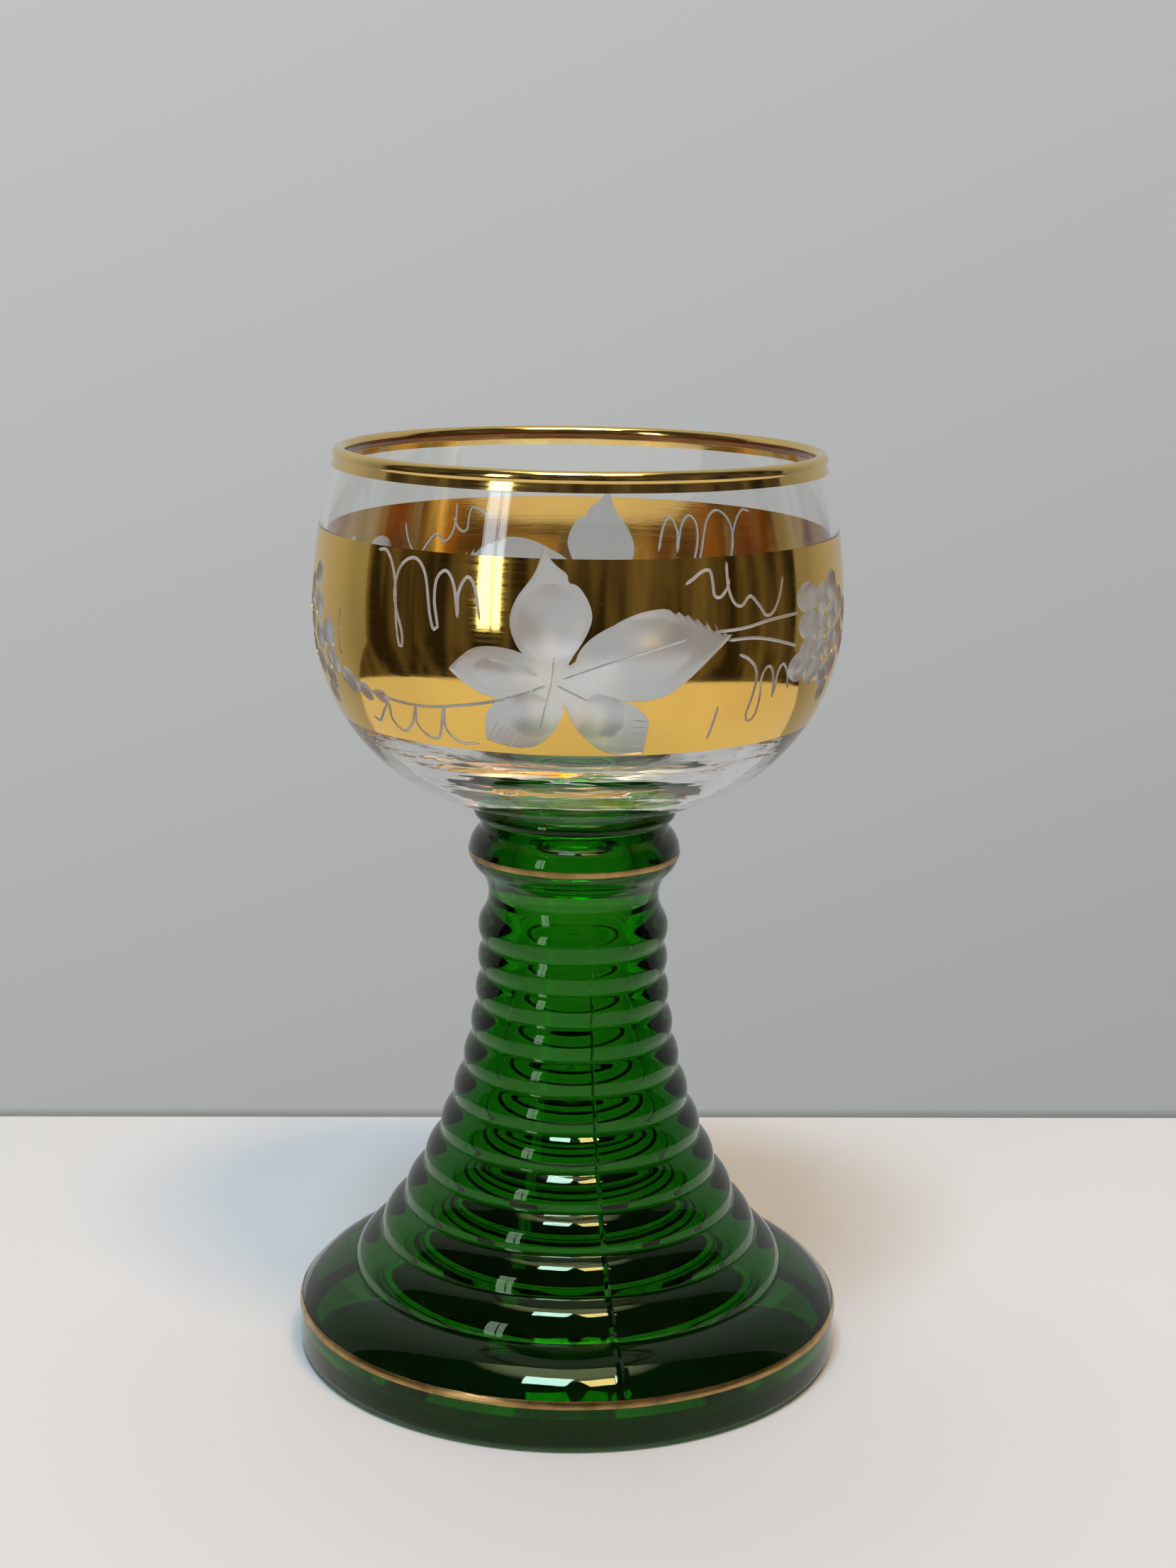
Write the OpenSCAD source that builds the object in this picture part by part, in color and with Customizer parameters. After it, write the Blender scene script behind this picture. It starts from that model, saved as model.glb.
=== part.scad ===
// Roemer wine glass. A clear bowl with gilt decoration is fused on a green pressed foot
// whose flared, hollow stem is ringed with ribs.
// Units are millimetres. The origin is the middle of the base, +Z is up, -Y is the front.

/* [Overall] */
// height of the foot with its stem, from the table to the fused joint
stem_h = 74.2; // [60:0.1:110]
// height of the bowl, from the fused joint to the top of the lip
bowl_h = 45.8; // [36:0.1:64]
// outside radius of the foot
foot_r = 36; // [30:0.5:48]
// outside radius of the bowl at its widest point
bowl_r = 33.8; // [27:0.1:44]

/* [Bowl] */
// height of the widest point above the fused joint
wide_h = 25.3; // [18:0.1:34]
// outside radius of the wall at the mouth
mouth_r = 30.55; // [24:0.05:43]
// radius of the fused joint between bowl and foot
joint_r = 12.1; // [9:0.1:16]
// wall thickness at the widest point and above it
bowl_wall = 1.1; // [0.8:0.05:1.4]
// thickness of the glass in the bottom of the bowl
bowl_floor = 4; // [2:0.1:8]
// radius of the round bead that ends the lip
bead_r = 0.8; // [0.75:0.05:1.2]
// how far the bead stands out of the wall
bead_out = 0.4; // [0.2:0.05:0.6]

/* [Stem] */
// rounding of the lip at the top of the foot
lip_round = 1.05; // [0.6:0.05:2]
// radius in the groove under the lip
groove_r = 12.3; // [10:0.1:14]
// radius of the collar at its crest
collar_r = 13.75; // [12.5:0.05:18]
// rounding of the collar
collar_round = 3.6; // [2.5:0.1:5]
// depth of the collar's crest below the joint
collar_drop = 6.2; // [5:0.1:9]
// rounding of the hollow neck under the collar
neck_round = 4.5; // [3:0.1:7]
// depth of the top of the first rib below the joint
rib_drop = 14.7; // [12:0.1:20]
// depth of the narrowest place of the stem below the joint
waist_drop = 18.9; // [15:0.1:26]
// radius in the rib grooves at the narrowest place
waist_r = 11.8; // [9.5:0.1:15]
// number of ribs on the stem
rib_count = 11; // [5:1:15]
// how much taller each rib is than the one above it
rib_growth = 1.037; // [1.005:0.001:1.08]
// height of a rib's bulge as a share of its length
rib_bulge = 0.15; // [0.08:0.01:0.25]

/* [Foot] */
// radius of the last groove, where the flange begins
flange_r = 28.7; // [22:0.1:33]
// height of the last groove
flange_z = 11.3; // [9:0.1:16]
// bulge of the flange
flange_bulge = 0.9; // [0.4:0.1:1.8]
// height at which the upright edge ends and the shoulder begins
shoulder_z = 6; // [4:0.1:8]
// height of the sloped shoulder
shoulder_h = 1; // [0.6:0.05:2]
// how far the shoulder leans in
shoulder_in = 0.32; // [0.1:0.02:1]
// rounding of the lower edge
base_round = 1.5; // [0.5:0.1:2.5]
// width of the flat ring that the glass stands on
base_ring = 2.2; // [1.5:0.1:5]
// thickness of the stem's wall behind the grooves
stem_wall = 4; // [2.5:0.1:6]
// solid glass between the joint and the top of the hollow
stem_head = 8; // [5:0.5:16]
// rounding round the top of the hollow
hollow_round = 4.5; // [1:0.1:4.5]

/* [Gilding] */
// thickness of the gold films, drawn thicker than fired gold so that each stays a solid
gilt_t = 0.1; // [0.05:0.01:0.2]
// how far the lip's gold reaches down from the top
rim_gilt_h = 2.4; // [1.8:0.1:5]
// top edge of the broad band, below the top of the lip
band_top_drop = 9.8; // [6:0.1:16]
// height of the broad band
band_h = 23.6; // [14:0.1:28]
// height of the middle of the collar's line below the collar's crest
collar_line_drop = 0.35; // [0:0.05:1.5]
// width of the line on the collar
collar_line_w = 0.75; // [0.4:0.05:1.5]
// height of the line on the shoulder
foot_line_w = 0.95; // [0.5:0.05:1.5]
// how far the line reaches below the middle of the shoulder
foot_line_drop = 0; // [0:0.05:0.5]

/* [Cut leaves and grapes] */
// azimuth of the front leaf's middle, from the front to the right
leaf_azimuth = -4.7; // [-30:0.1:30]
// height of a leaf's middle above the lower edge of the band
leaf_rise = 9.6; // [6:0.1:14]
// size of the leaves
leaf_scale = 1; // [0.6:0.05:1.05]
// azimuth of the grapes from the leaf's middle
grape_azimuth = 66; // [58:1:72]
// radius of one grape
grape_r = 1.5; // [0.8:0.1:2]
// distance between grapes
grape_pitch = 3.4; // [2.5:0.1:4.5]
// grapes in the longest row of a bunch
grape_rows = 5; // [2:1:5]

/* [Hidden] */
$fn = 128;
// longer than any size of the glass
far = 400;
// bowl
joint_z = stem_h;
glass_h = stem_h + bowl_h;
wide_z = joint_z + wide_h;
low_arc = micron(tangent_arc(bowl_r - joint_r, wide_z - joint_z));
high_arc = micron(tangent_arc(bowl_r - mouth_r, glass_h - wide_z));
floor_z = joint_z + bowl_floor;
inner_low_arc = wide_z - floor_z;
bead_z = glass_h - bead_r;
bead_c = [micron(wall_r(bead_z) + bead_out - bead_r), bead_z];
// stem
lip_c = [joint_r, joint_z - lip_round];
collar_c = [collar_r - collar_round, joint_z - collar_drop];
waist_z = joint_z - waist_drop;
flare_arc = micron(tangent_arc(flange_r - waist_r, waist_z - flange_z));
flare_c = [waist_r + flare_arc, waist_z];
top_angle = -asin((joint_z - rib_drop - waist_z) / flare_arc);
end_angle = asin((waist_z - flange_z) / flare_arc);
grooves = [for (k = [0 : rib_count]) flare_point(rib_angle(k))];
rib_c = [for (k = [0 : rib_count - 1]) bulge_centre(grooves[k], grooves[k + 1],
    rib_bulge * norm(grooves[k + 1] - grooves[k]))];
rib_r = [for (k = [0 : rib_count - 1]) norm(grooves[k] - rib_c[k])];
neck_c = touching(collar_c, collar_round + neck_round, rib_c[0], rib_r[0] + neck_round);
// foot
shoulder_p = [foot_r - shoulder_in, shoulder_z + shoulder_h];
flange_c = bulge_centre(grooves[rib_count], shoulder_p, flange_bulge);
flange_arc = norm(shoulder_p - flange_c);
base_c = [foot_r - base_round, base_round];
hollow_r = waist_r - stem_wall;
hollow_top_z = joint_z - stem_head;
hollow_top_c = [hollow_r - hollow_round, hollow_top_z - hollow_round];
hollow_mouth_r = foot_r - base_round - base_ring;
// gilding
band_z0 = glass_h - band_top_drop - band_h;
collar_line_z = collar_c[1] - collar_line_drop;
foot_line_z = shoulder_z - foot_line_drop;
// five lobes of a leaf: direction, length, width
leaf_lobes = [[95, 14.4, 9.8], [12, 20.8, 10.4], [-42, 13.6, 6.6], [-135, 11.6, 6.2], [174, 11.6, 6.4]];
// round middle that joins the lobes
leaf_core_r = 2.6;
// the cuts start this far from the axis, so that they open one side only
cut_from = bowl_r / 2;

// derived sizes are rounded to a micrometre, so that neighbouring arcs meet in one edge
function micron(x) = round(1000 * x) / 1000;
// radius of the arc that leaves a vertical tangent, runs dz along it and ends dr to the side
function tangent_arc(dr, dz) = (dr * dr + dz * dz) / (2 * dr);
// outside radius of the bowl's wall above the widest point
function wall_r(z) = bowl_r - high_arc + sqrt(high_arc * high_arc - (z - wide_z) * (z - wide_z));
// angle on the flare of groove k; each rib is rib_growth times the one above
function rib_angle(k) = top_angle
    + (end_angle - top_angle) * (pow(rib_growth, k) - 1) / (pow(rib_growth, rib_count) - 1);
// point of the flare's arc at an angle below the waist
function flare_point(a) = flare_c - flare_arc * [cos(a), sin(a)];
// centre of the arc from a down to b that bulges outwards by sag
function bulge_centre(a, b, sag) = let (d = b - a, c = norm(d), r = tangent_arc(sag, c / 2))
    (a + b) / 2 + (sag - r) * [-d[1], d[0]] / c;
// centre of the outer circle at distances ra and rb from the points a and b, a above b
function touching(a, ra, b, rb) = let (d = b - a, c = norm(d), u = d / c,
    t = (ra * ra - rb * rb + c * c) / (2 * c))
    a + t * u + sqrt(ra * ra - t * t) * [-u[1], u[0]];

// slab of the half plane between two heights
module slab(z0, z1) {
    translate([0, z0]) square([far, z1 - z0]);
}

// round disc of the profile
module disc(c, r) {
    translate(c) circle(r);
}

// part of a disc that lies inside the half plane
module half_disc(c, r, z0, z1) {
    intersection() {
        disc(c, r);
        slab(z0, z1);
    }
}

// top of the flange, from the last groove to the shoulder
module flange() {
    intersection() {
        disc(flange_c, flange_arc);
        polygon([flange_c, flange_c + 2 * (shoulder_p - flange_c), [foot_r, joint_z], [flange_c[0], joint_z]]);
    }
}

// outside of the bowl up to the middle of the bead; grow adds a film
module bowl_outline(grow = 0) {
    half_disc([bowl_r - low_arc, wide_z], low_arc + grow, joint_z, wide_z);
    half_disc([bowl_r - high_arc, wide_z], high_arc + grow, wide_z, bead_z);
    translate([0, joint_z]) square([min(joint_r, mouth_r), bead_z - joint_z]);
}

// room inside the bowl
module bowl_inside() {
    r = bowl_r - bowl_wall;
    half_disc([r - inner_low_arc, wide_z], inner_low_arc, floor_z, wide_z);
    translate([0, floor_z]) square([r - inner_low_arc, wide_z - floor_z]);
    half_disc([bowl_r - high_arc, wide_z], high_arc - bowl_wall, wide_z, glass_h);
}

// section of the bowl with its bead
module bowl_section() {
    difference() {
        bowl_outline();
        bowl_inside();
    }
    disc(bead_c, bead_r);
}

// hollow under the foot: a flare at an even distance behind the grooves, with a rounded top
module foot_hollow() {
    intersection() {
        difference() {
            slab(0, waist_z);
            disc(flare_c, flare_arc + stem_wall);
        }
        square([hollow_mouth_r, waist_z]);
    }
    translate([0, waist_z]) square([hollow_r, hollow_top_c[1] - waist_z]);
    half_disc(hollow_top_c, hollow_round, hollow_top_c[1], joint_z);
    translate([0, waist_z]) square([hollow_top_c[0], hollow_top_z - waist_z]);
}

// outside of the foot
module foot_outline() {
    // lip and groove
    disc(lip_c, lip_round);
    translate([0, lip_c[1]]) square([joint_r, lip_round]);
    translate([0, collar_c[1]]) square([groove_r, lip_c[1] - collar_c[1]]);
    // collar, and the neck that runs into the first rib
    disc(collar_c, collar_round);
    difference() {
        polygon([[0, rib_c[0][1]], rib_c[0], neck_c, collar_c, [0, collar_c[1]]]);
        disc(neck_c, neck_round);
    }
    // ribs, which meet in the grooves
    for (k = [0 : rib_count - 1]) disc(rib_c[k], rib_r[k]);
    // flange, shoulder and edge
    flange();
    polygon([[0, base_round], [foot_r, base_round], [foot_r, shoulder_z], shoulder_p, [0, shoulder_p[1]]]);
    disc(base_c, base_round);
    square([base_c[0], base_round]);
    // core behind the ribs
    polygon(concat([[0, shoulder_z], shoulder_p],
        [for (k = [rib_count - 1 : -1 : 0]) rib_c[k]], [[0, rib_c[0][1]]]));
}

// leaf with five pointed lobes round its middle
module leaf() {
    scale(leaf_scale) {
        circle(leaf_core_r);
        for (lobe = leaf_lobes) rotate(lobe[0]) pointed_lobe(lobe[1], lobe[2]);
    }
}

// lens of two arcs from the middle of the leaf to the lobe's tip
module pointed_lobe(length, width) {
    r = tangent_arc(width / 2, length / 2);
    intersection() {
        translate([length / 2, r - width / 2]) circle(r);
        translate([length / 2, width / 2 - r]) circle(r);
    }
}

// bunch of grapes, the longest row at the top
module bunch() {
    row_h = grape_pitch * sqrt(3) / 2;
    for (row = [0 : grape_rows - 1])
        for (i = [0 : grape_rows - 1 - row])
            translate([(i - (grape_rows - 1 - row) / 2) * grape_pitch,
                ((grape_rows - 1) / 2 - row) * row_h]) circle(grape_r);
}

// carries a flat figure out through the wall at an azimuth
module cut_through(azimuth) {
    rotate([0, 0, azimuth])
        translate([0, -cut_from, band_z0 + leaf_rise])
            rotate([90, 0, 0]) linear_extrude(bowl_r) children();
}

// clear blown bowl
module bowl() {
    color([0.86, 0.93, 0.92, 0.4]) rotate_extrude() bowl_section();
}

// green pressed foot
module ribbed_foot() {
    color([0.02, 0.36, 0.08, 0.8]) rotate_extrude() difference() {
        intersection() {
            foot_outline();
            slab(0, joint_z);
        }
        foot_hollow();
    }
}

// gold on the lip, over the bead and a little way down the outside
module gilt_rim() {
    color([0.83, 0.66, 0.3]) rotate_extrude() difference() {
        union() {
            half_disc(bead_c, bead_r + gilt_t, bead_z, far);
            intersection() {
                union() {
                    disc(bead_c, bead_r + gilt_t);
                    bowl_outline(gilt_t);
                }
                translate([bead_c[0], glass_h - rim_gilt_h]) square([far, bead_z - glass_h + rim_gilt_h]);
            }
        }
        bowl_section();
    }
}

// broad gold band with the leaves and grapes left open
module gilt_band() {
    color([0.8, 0.6, 0.22]) difference() {
        rotate_extrude() intersection() {
            difference() {
                bowl_outline(gilt_t);
                bowl_outline();
            }
            slab(band_z0, band_z0 + band_h);
        }
        for (turn = [0, 180]) {
            cut_through(leaf_azimuth + turn) leaf();
            for (side = [-1, 1])
                cut_through(leaf_azimuth + side * grape_azimuth + turn) bunch();
        }
    }
}

// gold line just under the collar's crest
module collar_line() {
    color([0.8, 0.58, 0.3]) rotate_extrude() intersection() {
        difference() {
            disc(collar_c, collar_round + gilt_t);
            disc(collar_c, collar_round);
        }
        translate([collar_c[0], collar_line_z - collar_line_w / 2]) square([far, collar_line_w]);
    }
}

// gold line over the foot's shoulder
module foot_line() {
    color([0.8, 0.58, 0.3]) rotate_extrude() intersection() {
        difference() {
            translate([gilt_t, 0]) foot_outline();
            foot_outline();
        }
        translate([flange_r, foot_line_z]) square([far, foot_line_w]);
    }
}

bowl();
ribbed_foot();
gilt_rim();
gilt_band();
collar_line();
foot_line();
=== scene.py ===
import logging
import math
from dataclasses import dataclass, field
from enum import Enum
from typing import Optional, Sequence

import bmesh
import bpy
from mathutils import Matrix, Vector, kdtree
from mathutils.geometry import delaunay_2d_cdt


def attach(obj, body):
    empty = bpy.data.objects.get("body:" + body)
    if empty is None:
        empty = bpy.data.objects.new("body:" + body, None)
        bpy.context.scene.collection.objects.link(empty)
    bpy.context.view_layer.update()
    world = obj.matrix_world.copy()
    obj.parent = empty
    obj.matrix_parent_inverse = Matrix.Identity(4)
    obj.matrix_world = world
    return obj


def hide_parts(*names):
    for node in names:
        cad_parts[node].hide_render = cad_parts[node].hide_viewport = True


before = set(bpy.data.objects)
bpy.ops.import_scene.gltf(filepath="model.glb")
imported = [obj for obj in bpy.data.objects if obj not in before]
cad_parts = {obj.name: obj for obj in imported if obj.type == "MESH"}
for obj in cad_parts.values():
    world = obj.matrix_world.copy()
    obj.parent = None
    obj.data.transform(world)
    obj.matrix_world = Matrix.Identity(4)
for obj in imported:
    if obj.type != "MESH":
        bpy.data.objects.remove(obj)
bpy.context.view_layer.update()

# The glass is given in millimetres, which become metres when a mesh is made.
# Finishes and the studio are given in metres.
# Azimuths are in degrees from the front of the glass, positive to the right.

MM = 0.001
BODY = "root"
JOINT_Z = 74.2
JOINT_R = 12.1
WELD = 0.0000015
LOG = logging.getLogger("roemer")

Point = tuple[float, float]
Place = tuple[float, float, float]
Colour = tuple[float, float, float]
Socket = bpy.types.NodeSocket


class Slot(Enum):
    """Material slots of the record."""

    CLEAR_GLASS = "clear_glass"
    GREEN_GLASS = "green_glass"
    RIM_GOLD = "rim_gold"
    BAND_GOLD = "band_gold"
    LINE_GOLD = "line_gold"


class Skin(Enum):
    """How a face of the bowl takes its normals."""

    BLENDED = 0
    BLOWN = 1
    SCOOPED = 2
    ENGRAVED = 3


def placed(name: str, data: bpy.types.ID) -> bpy.types.Object:
    """Object made from its data and linked to the scene.

    Args:
        name: name of the object.
        data: mesh, lamp or camera.

    Returns:
        The object.
    """
    made = bpy.data.objects.new(name, data)
    bpy.context.collection.objects.link(made)
    return made


def registered(piece: bpy.types.Object, node: str) -> bpy.types.Object:
    """Piece that rides on the glass and stands for a node.

    Args:
        piece: finished piece.
        node: node that it stands for.

    Returns:
        The same piece.
    """
    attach(piece, BODY)
    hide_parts(node)
    return piece


# Plane geometry of the sections


def arc(centre: Point, radius: float, start: float, end: float, count: int) -> list[Point]:
    """Points along an arc of a section, both ends included.

    Args:
        centre: centre of the arc.
        radius: radius of the arc.
        start: first angle in radians.
        end: last angle in radians.
        count: number of steps.

    Returns:
        count + 1 points.
    """
    angles = [start + (end - start) * i / count for i in range(count + 1)]
    return [(centre[0] + radius * math.cos(a), centre[1] + radius * math.sin(a)) for a in angles]


def ring(centre: Point, radius: float, count: int) -> list[Point]:
    """Corners of a round outline, without a second first corner."""
    return arc(centre, radius, 0.0, math.tau * (count - 1) / count, count - 1)


def angle_to(centre: Point, point: Point) -> float:
    """Angle in radians of a point seen from a centre."""
    return math.atan2(point[1] - centre[1], point[0] - centre[0])


def bearing(azimuth: float, reach: float) -> Point:
    """Place in plan at an azimuth and a distance from the axis."""
    angle = math.radians(azimuth)
    return reach * math.sin(angle), -reach * math.cos(angle)


def bulge_centre(upper: Point, lower: Point, sag: float) -> tuple[Point, float]:
    """Centre and radius of the arc between two points that bulges outwards.

    Args:
        upper: upper end of the arc.
        lower: lower end of the arc.
        sag: height of the bulge over the chord.

    Returns:
        Centre and radius.
    """
    dr, dz = lower[0] - upper[0], lower[1] - upper[1]
    chord = math.hypot(dr, dz)
    radius = (sag * sag + chord * chord / 4) / (2 * sag)
    push = (sag - radius) / chord
    centre = ((upper[0] + lower[0]) / 2 - dz * push, (upper[1] + lower[1]) / 2 + dr * push)
    return centre, radius


def upright_arc(dr: float, dz: float) -> float:
    """Radius of the arc that starts upright and ends dr aside after dz."""
    return (dr * dr + dz * dz) / (2 * dr)


def touching_centre(first: Point, first_r: float, second: Point, second_r: float, radius: float) -> Point:
    """Centre of a circle that touches two rounds from outside, right of the way from one to the other.

    Args:
        first: centre of the first round.
        first_r: radius of the first round.
        second: centre of the second round.
        second_r: radius of the second round.
        radius: radius of the touching circle.

    Returns:
        Its centre.
    """
    ra, rb = first_r + radius, second_r + radius
    gap = math.dist(first, second)
    ur, uz = (second[0] - first[0]) / gap, (second[1] - first[1]) / gap
    along = (ra * ra - rb * rb + gap * gap) / (2 * gap)
    aside = math.sqrt(ra * ra - along * along)
    return first[0] + along * ur + aside * uz, first[1] + along * uz - aside * ur


def path_normals(path: Sequence[Point]) -> list[Point]:
    """Normals on the right-hand side of a path, which is outwards for an upward run.

    Args:
        path: points of the run.

    Returns:
        One unit normal for each point.
    """
    normals = []
    for i in range(len(path)):
        before = path[max(i - 1, 0)]
        after = path[min(i + 1, len(path) - 1)]
        dr, dz = after[0] - before[0], after[1] - before[1]
        length = math.hypot(dr, dz) or 1.0
        normals.append((dz / length, -dr / length))
    return normals


def film_section(path: Sequence[Point], sunk: float, proud: float) -> list[Point]:
    """Closed section of a film that lies along a path.

    Args:
        path: run of the film on the glass, upwards along the outside.
        sunk: depth of its inner face below the path.
        proud: height of its outer face over the path.

    Returns:
        Closed loop of points; the last one repeats the first.
    """
    normals = path_normals(path)
    outer = [(p[0] + proud * n[0], p[1] + proud * n[1]) for p, n in zip(path, normals)]
    inner = [(p[0] - sunk * n[0], p[1] - sunk * n[1]) for p, n in zip(path, normals)]
    return outer + inner[::-1] + outer[:1]


def read_row(row: Sequence[Point], at: float) -> float:
    """Value at a place of a row of (place, value) pairs, smooth between them.

    Args:
        row: pairs in rising order of place.
        at: place to read.

    Returns:
        The value.
    """
    if at <= row[0][0]:
        return row[0][1]
    for i in range(1, len(row)):
        if at <= row[i][0]:
            (x0, y0), (x1, y1) = row[i - 1], row[i]
            before, after = row[max(i - 2, 0)], row[min(i + 1, len(row) - 1)]
            t = (at - x0) / (x1 - x0)
            m0 = (y1 - before[1]) / (x1 - before[0]) * (x1 - x0)
            m1 = (after[1] - y0) / (after[0] - x0) * (x1 - x0)
            ease = t * t * (3 - 2 * t)
            return y0 + (y1 - y0) * ease + m0 * t * (1 - t) ** 2 + m1 * t * t * (t - 1)
    return row[-1][1]


# Node trees


@dataclass(frozen=True)
class Grain:
    """Noise of a finish or of the room: its scale, its octaves and its factors along x, y and z."""

    scale: float
    detail: float
    stretch: Place = (1.0, 1.0, 1.0)


class Wiring:
    """Short hand for wiring the nodes of one tree."""

    def __init__(self, tree: bpy.types.NodeTree, coords: str = "") -> None:
        """Takes a tree.

        Args:
            tree: tree that gets the nodes.
            coords: texture coordinates that it reads, where it reads any.
        """
        self.tree = tree
        self.coords = self.node("ShaderNodeTexCoord").outputs[coords] if coords else None

    def node(self, kind: str, inputs: Optional[dict] = None, **settings: object) -> bpy.types.Node:
        """New node with its properties set and its inputs fed.

        Args:
            kind: type of the node.
            inputs: sockets or plain values, by the name or number of the input.
            settings: properties, by name.

        Returns:
            The node.
        """
        made = self.tree.nodes.new(kind)
        for key, value in settings.items():
            setattr(made, key, value)
        for key, value in (inputs or {}).items():
            self.feed(made.inputs[key], value)
        return made

    def feed(self, target: Socket, value: object) -> None:
        """Feeds an input.

        Args:
            target: the input.
            value: socket to link to it, or a plain value.
        """
        if isinstance(value, Socket):
            self.tree.links.new(value, target)
        else:
            target.default_value = value

    def math(self, operation: str, *values: object) -> Socket:
        """Result of a math node on sockets or plain numbers."""
        return self.node("ShaderNodeMath", dict(enumerate(values)), operation=operation).outputs[0]

    def product(self, first: object, second: object) -> Socket:
        """Product of two sockets or plain numbers."""
        return self.math("MULTIPLY", first, second)

    def part(self, axis: str) -> Socket:
        """One part of the coordinates."""
        return self.node("ShaderNodeSeparateXYZ", {0: self.coords}).outputs[axis]

    def noise(self, grain: Grain) -> Socket:
        """Factor of a noise on the coordinates."""
        mapping = self.node("ShaderNodeMapping", {"Vector": self.coords, "Scale": grain.stretch})
        return self.speckle(mapping.outputs["Vector"], grain.scale, grain.detail)

    def speckle(self, place: Socket, scale: float, detail: float) -> Socket:
        """Factor of a noise at a place."""
        inputs = {"Vector": place, "Scale": scale, "Detail": detail}
        return self.node("ShaderNodeTexNoise", inputs).outputs["Fac"]

    def spread(self, factor: Socket, low: float, high: float, start: float = 0.3, end: float = 0.7) -> Socket:
        """Factor carried from start..end to low..high."""
        inputs = {"Value": factor, "From Min": start, "From Max": end, "To Min": low, "To Max": high}
        return self.node("ShaderNodeMapRange", inputs).outputs["Result"]

    def blend(self, factor: Socket, first: object, second: object) -> Socket:
        """Colour between two colours or sockets.

        Args:
            factor: share of the second colour.
            first: colour or socket.
            second: colour or socket.

        Returns:
            Colour socket.
        """
        inputs = {"Factor": factor}
        for name, value in (("A", first), ("B", second)):
            inputs[name] = value if isinstance(value, Socket) else (*value, 1.0)
        return self.node("ShaderNodeMix", inputs, data_type="RGBA").outputs["Result"]


class Brush(Wiring):
    """Wiring of one material round its Principled shader."""

    def __init__(self, name: str) -> None:
        """Starts a material.

        Args:
            name: name of the material.
        """
        self.material = bpy.data.materials.new(name)
        self.material.use_nodes = True
        super().__init__(self.material.node_tree, "Object")
        self.shader = self.tree.nodes["Principled BSDF"]
        self.output = self.tree.nodes["Material Output"]

    def set(self, **values: object) -> None:
        """Sockets or plain values for the shader's inputs, with _ for a space in the name."""
        for key, value in values.items():
            self.feed(self.shader.inputs[key.replace("_", " ")], value)

    def relief(self, height: Socket, strength: float, distance: float) -> None:
        """Bump of a height factor on the shader's normal; distance is the relief in metres."""
        bump = self.node("ShaderNodeBump", {"Height": height, "Strength": strength, "Distance": distance})
        self.set(Normal=bump.outputs["Normal"])


# Finishes


@dataclass(frozen=True)
class ClearGlass:
    """Blown clear glass with faint rings and wipe marks."""

    tint: Colour = (0.985, 0.99, 0.985)
    ior: float = 1.5
    marks: Grain = Grain(420.0, 3.0, (1.0, 1.0, 0.35))
    mark_range: Point = (0.45, 0.75)
    mark_rough: float = 0.025
    rings: Grain = Grain(55.0, 1.0, (0.25, 0.25, 1.6))
    ring_height: float = 0.000002
    ripples: Grain = Grain(300.0, 2.0, (0.22, 0.22, 1.6))
    ripple_height: float = 0.00017
    ripple_range: Point = (0.08, 0.085)

    def make(self) -> bpy.types.Material:
        """Material of the clear bowl; its thick bottom is the waviest.

        Returns:
            The material.
        """
        brush = Brush("clear_blown_glass")
        brush.set(Base_Color=(*self.tint, 1.0), IOR=self.ior, Transmission_Weight=1.0)
        brush.set(Roughness=brush.spread(brush.noise(self.marks), 0.0, self.mark_rough, *self.mark_range))
        rings = brush.product(brush.noise(self.rings), self.ring_height)
        ripples = brush.product(brush.noise(self.ripples), self.ripple_height)
        low = brush.spread(brush.part("Z"), 1.0, 0.0, *self.ripple_range)
        brush.relief(brush.math("ADD", rings, brush.product(ripples, low)), 1.0, 1.0)
        return brush.material


@dataclass(frozen=True)
class MattCut:
    """Ground glass of the cut leaves, with the grain of the wheel."""

    pale: Colour = (0.8, 0.81, 0.81)
    shade: Colour = (0.68, 0.69, 0.69)
    ior: float = 1.5
    see_through: float = 0.74
    clouds: Grain = Grain(160.0, 4.0)
    strokes: Grain = Grain(2400.0, 2.0, (1.0, 1.0, 0.3))
    stroke_rough: Point = (0.3, 0.34)
    grain: Grain = Grain(6000.0, 2.0)
    grain_strength: float = 0.12
    grain_height: float = 0.00003

    def make(self) -> bpy.types.Material:
        """Material of the cut faces.

        Returns:
            The material.
        """
        brush = Brush("matt_cut_glass")
        brush.set(IOR=self.ior, Transmission_Weight=self.see_through)
        brush.set(Base_Color=brush.blend(brush.noise(self.clouds), self.pale, self.shade))
        brush.set(Roughness=brush.spread(brush.noise(self.strokes), *self.stroke_rough))
        brush.relief(brush.noise(self.grain), self.grain_strength, self.grain_height)
        return brush.material


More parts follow.
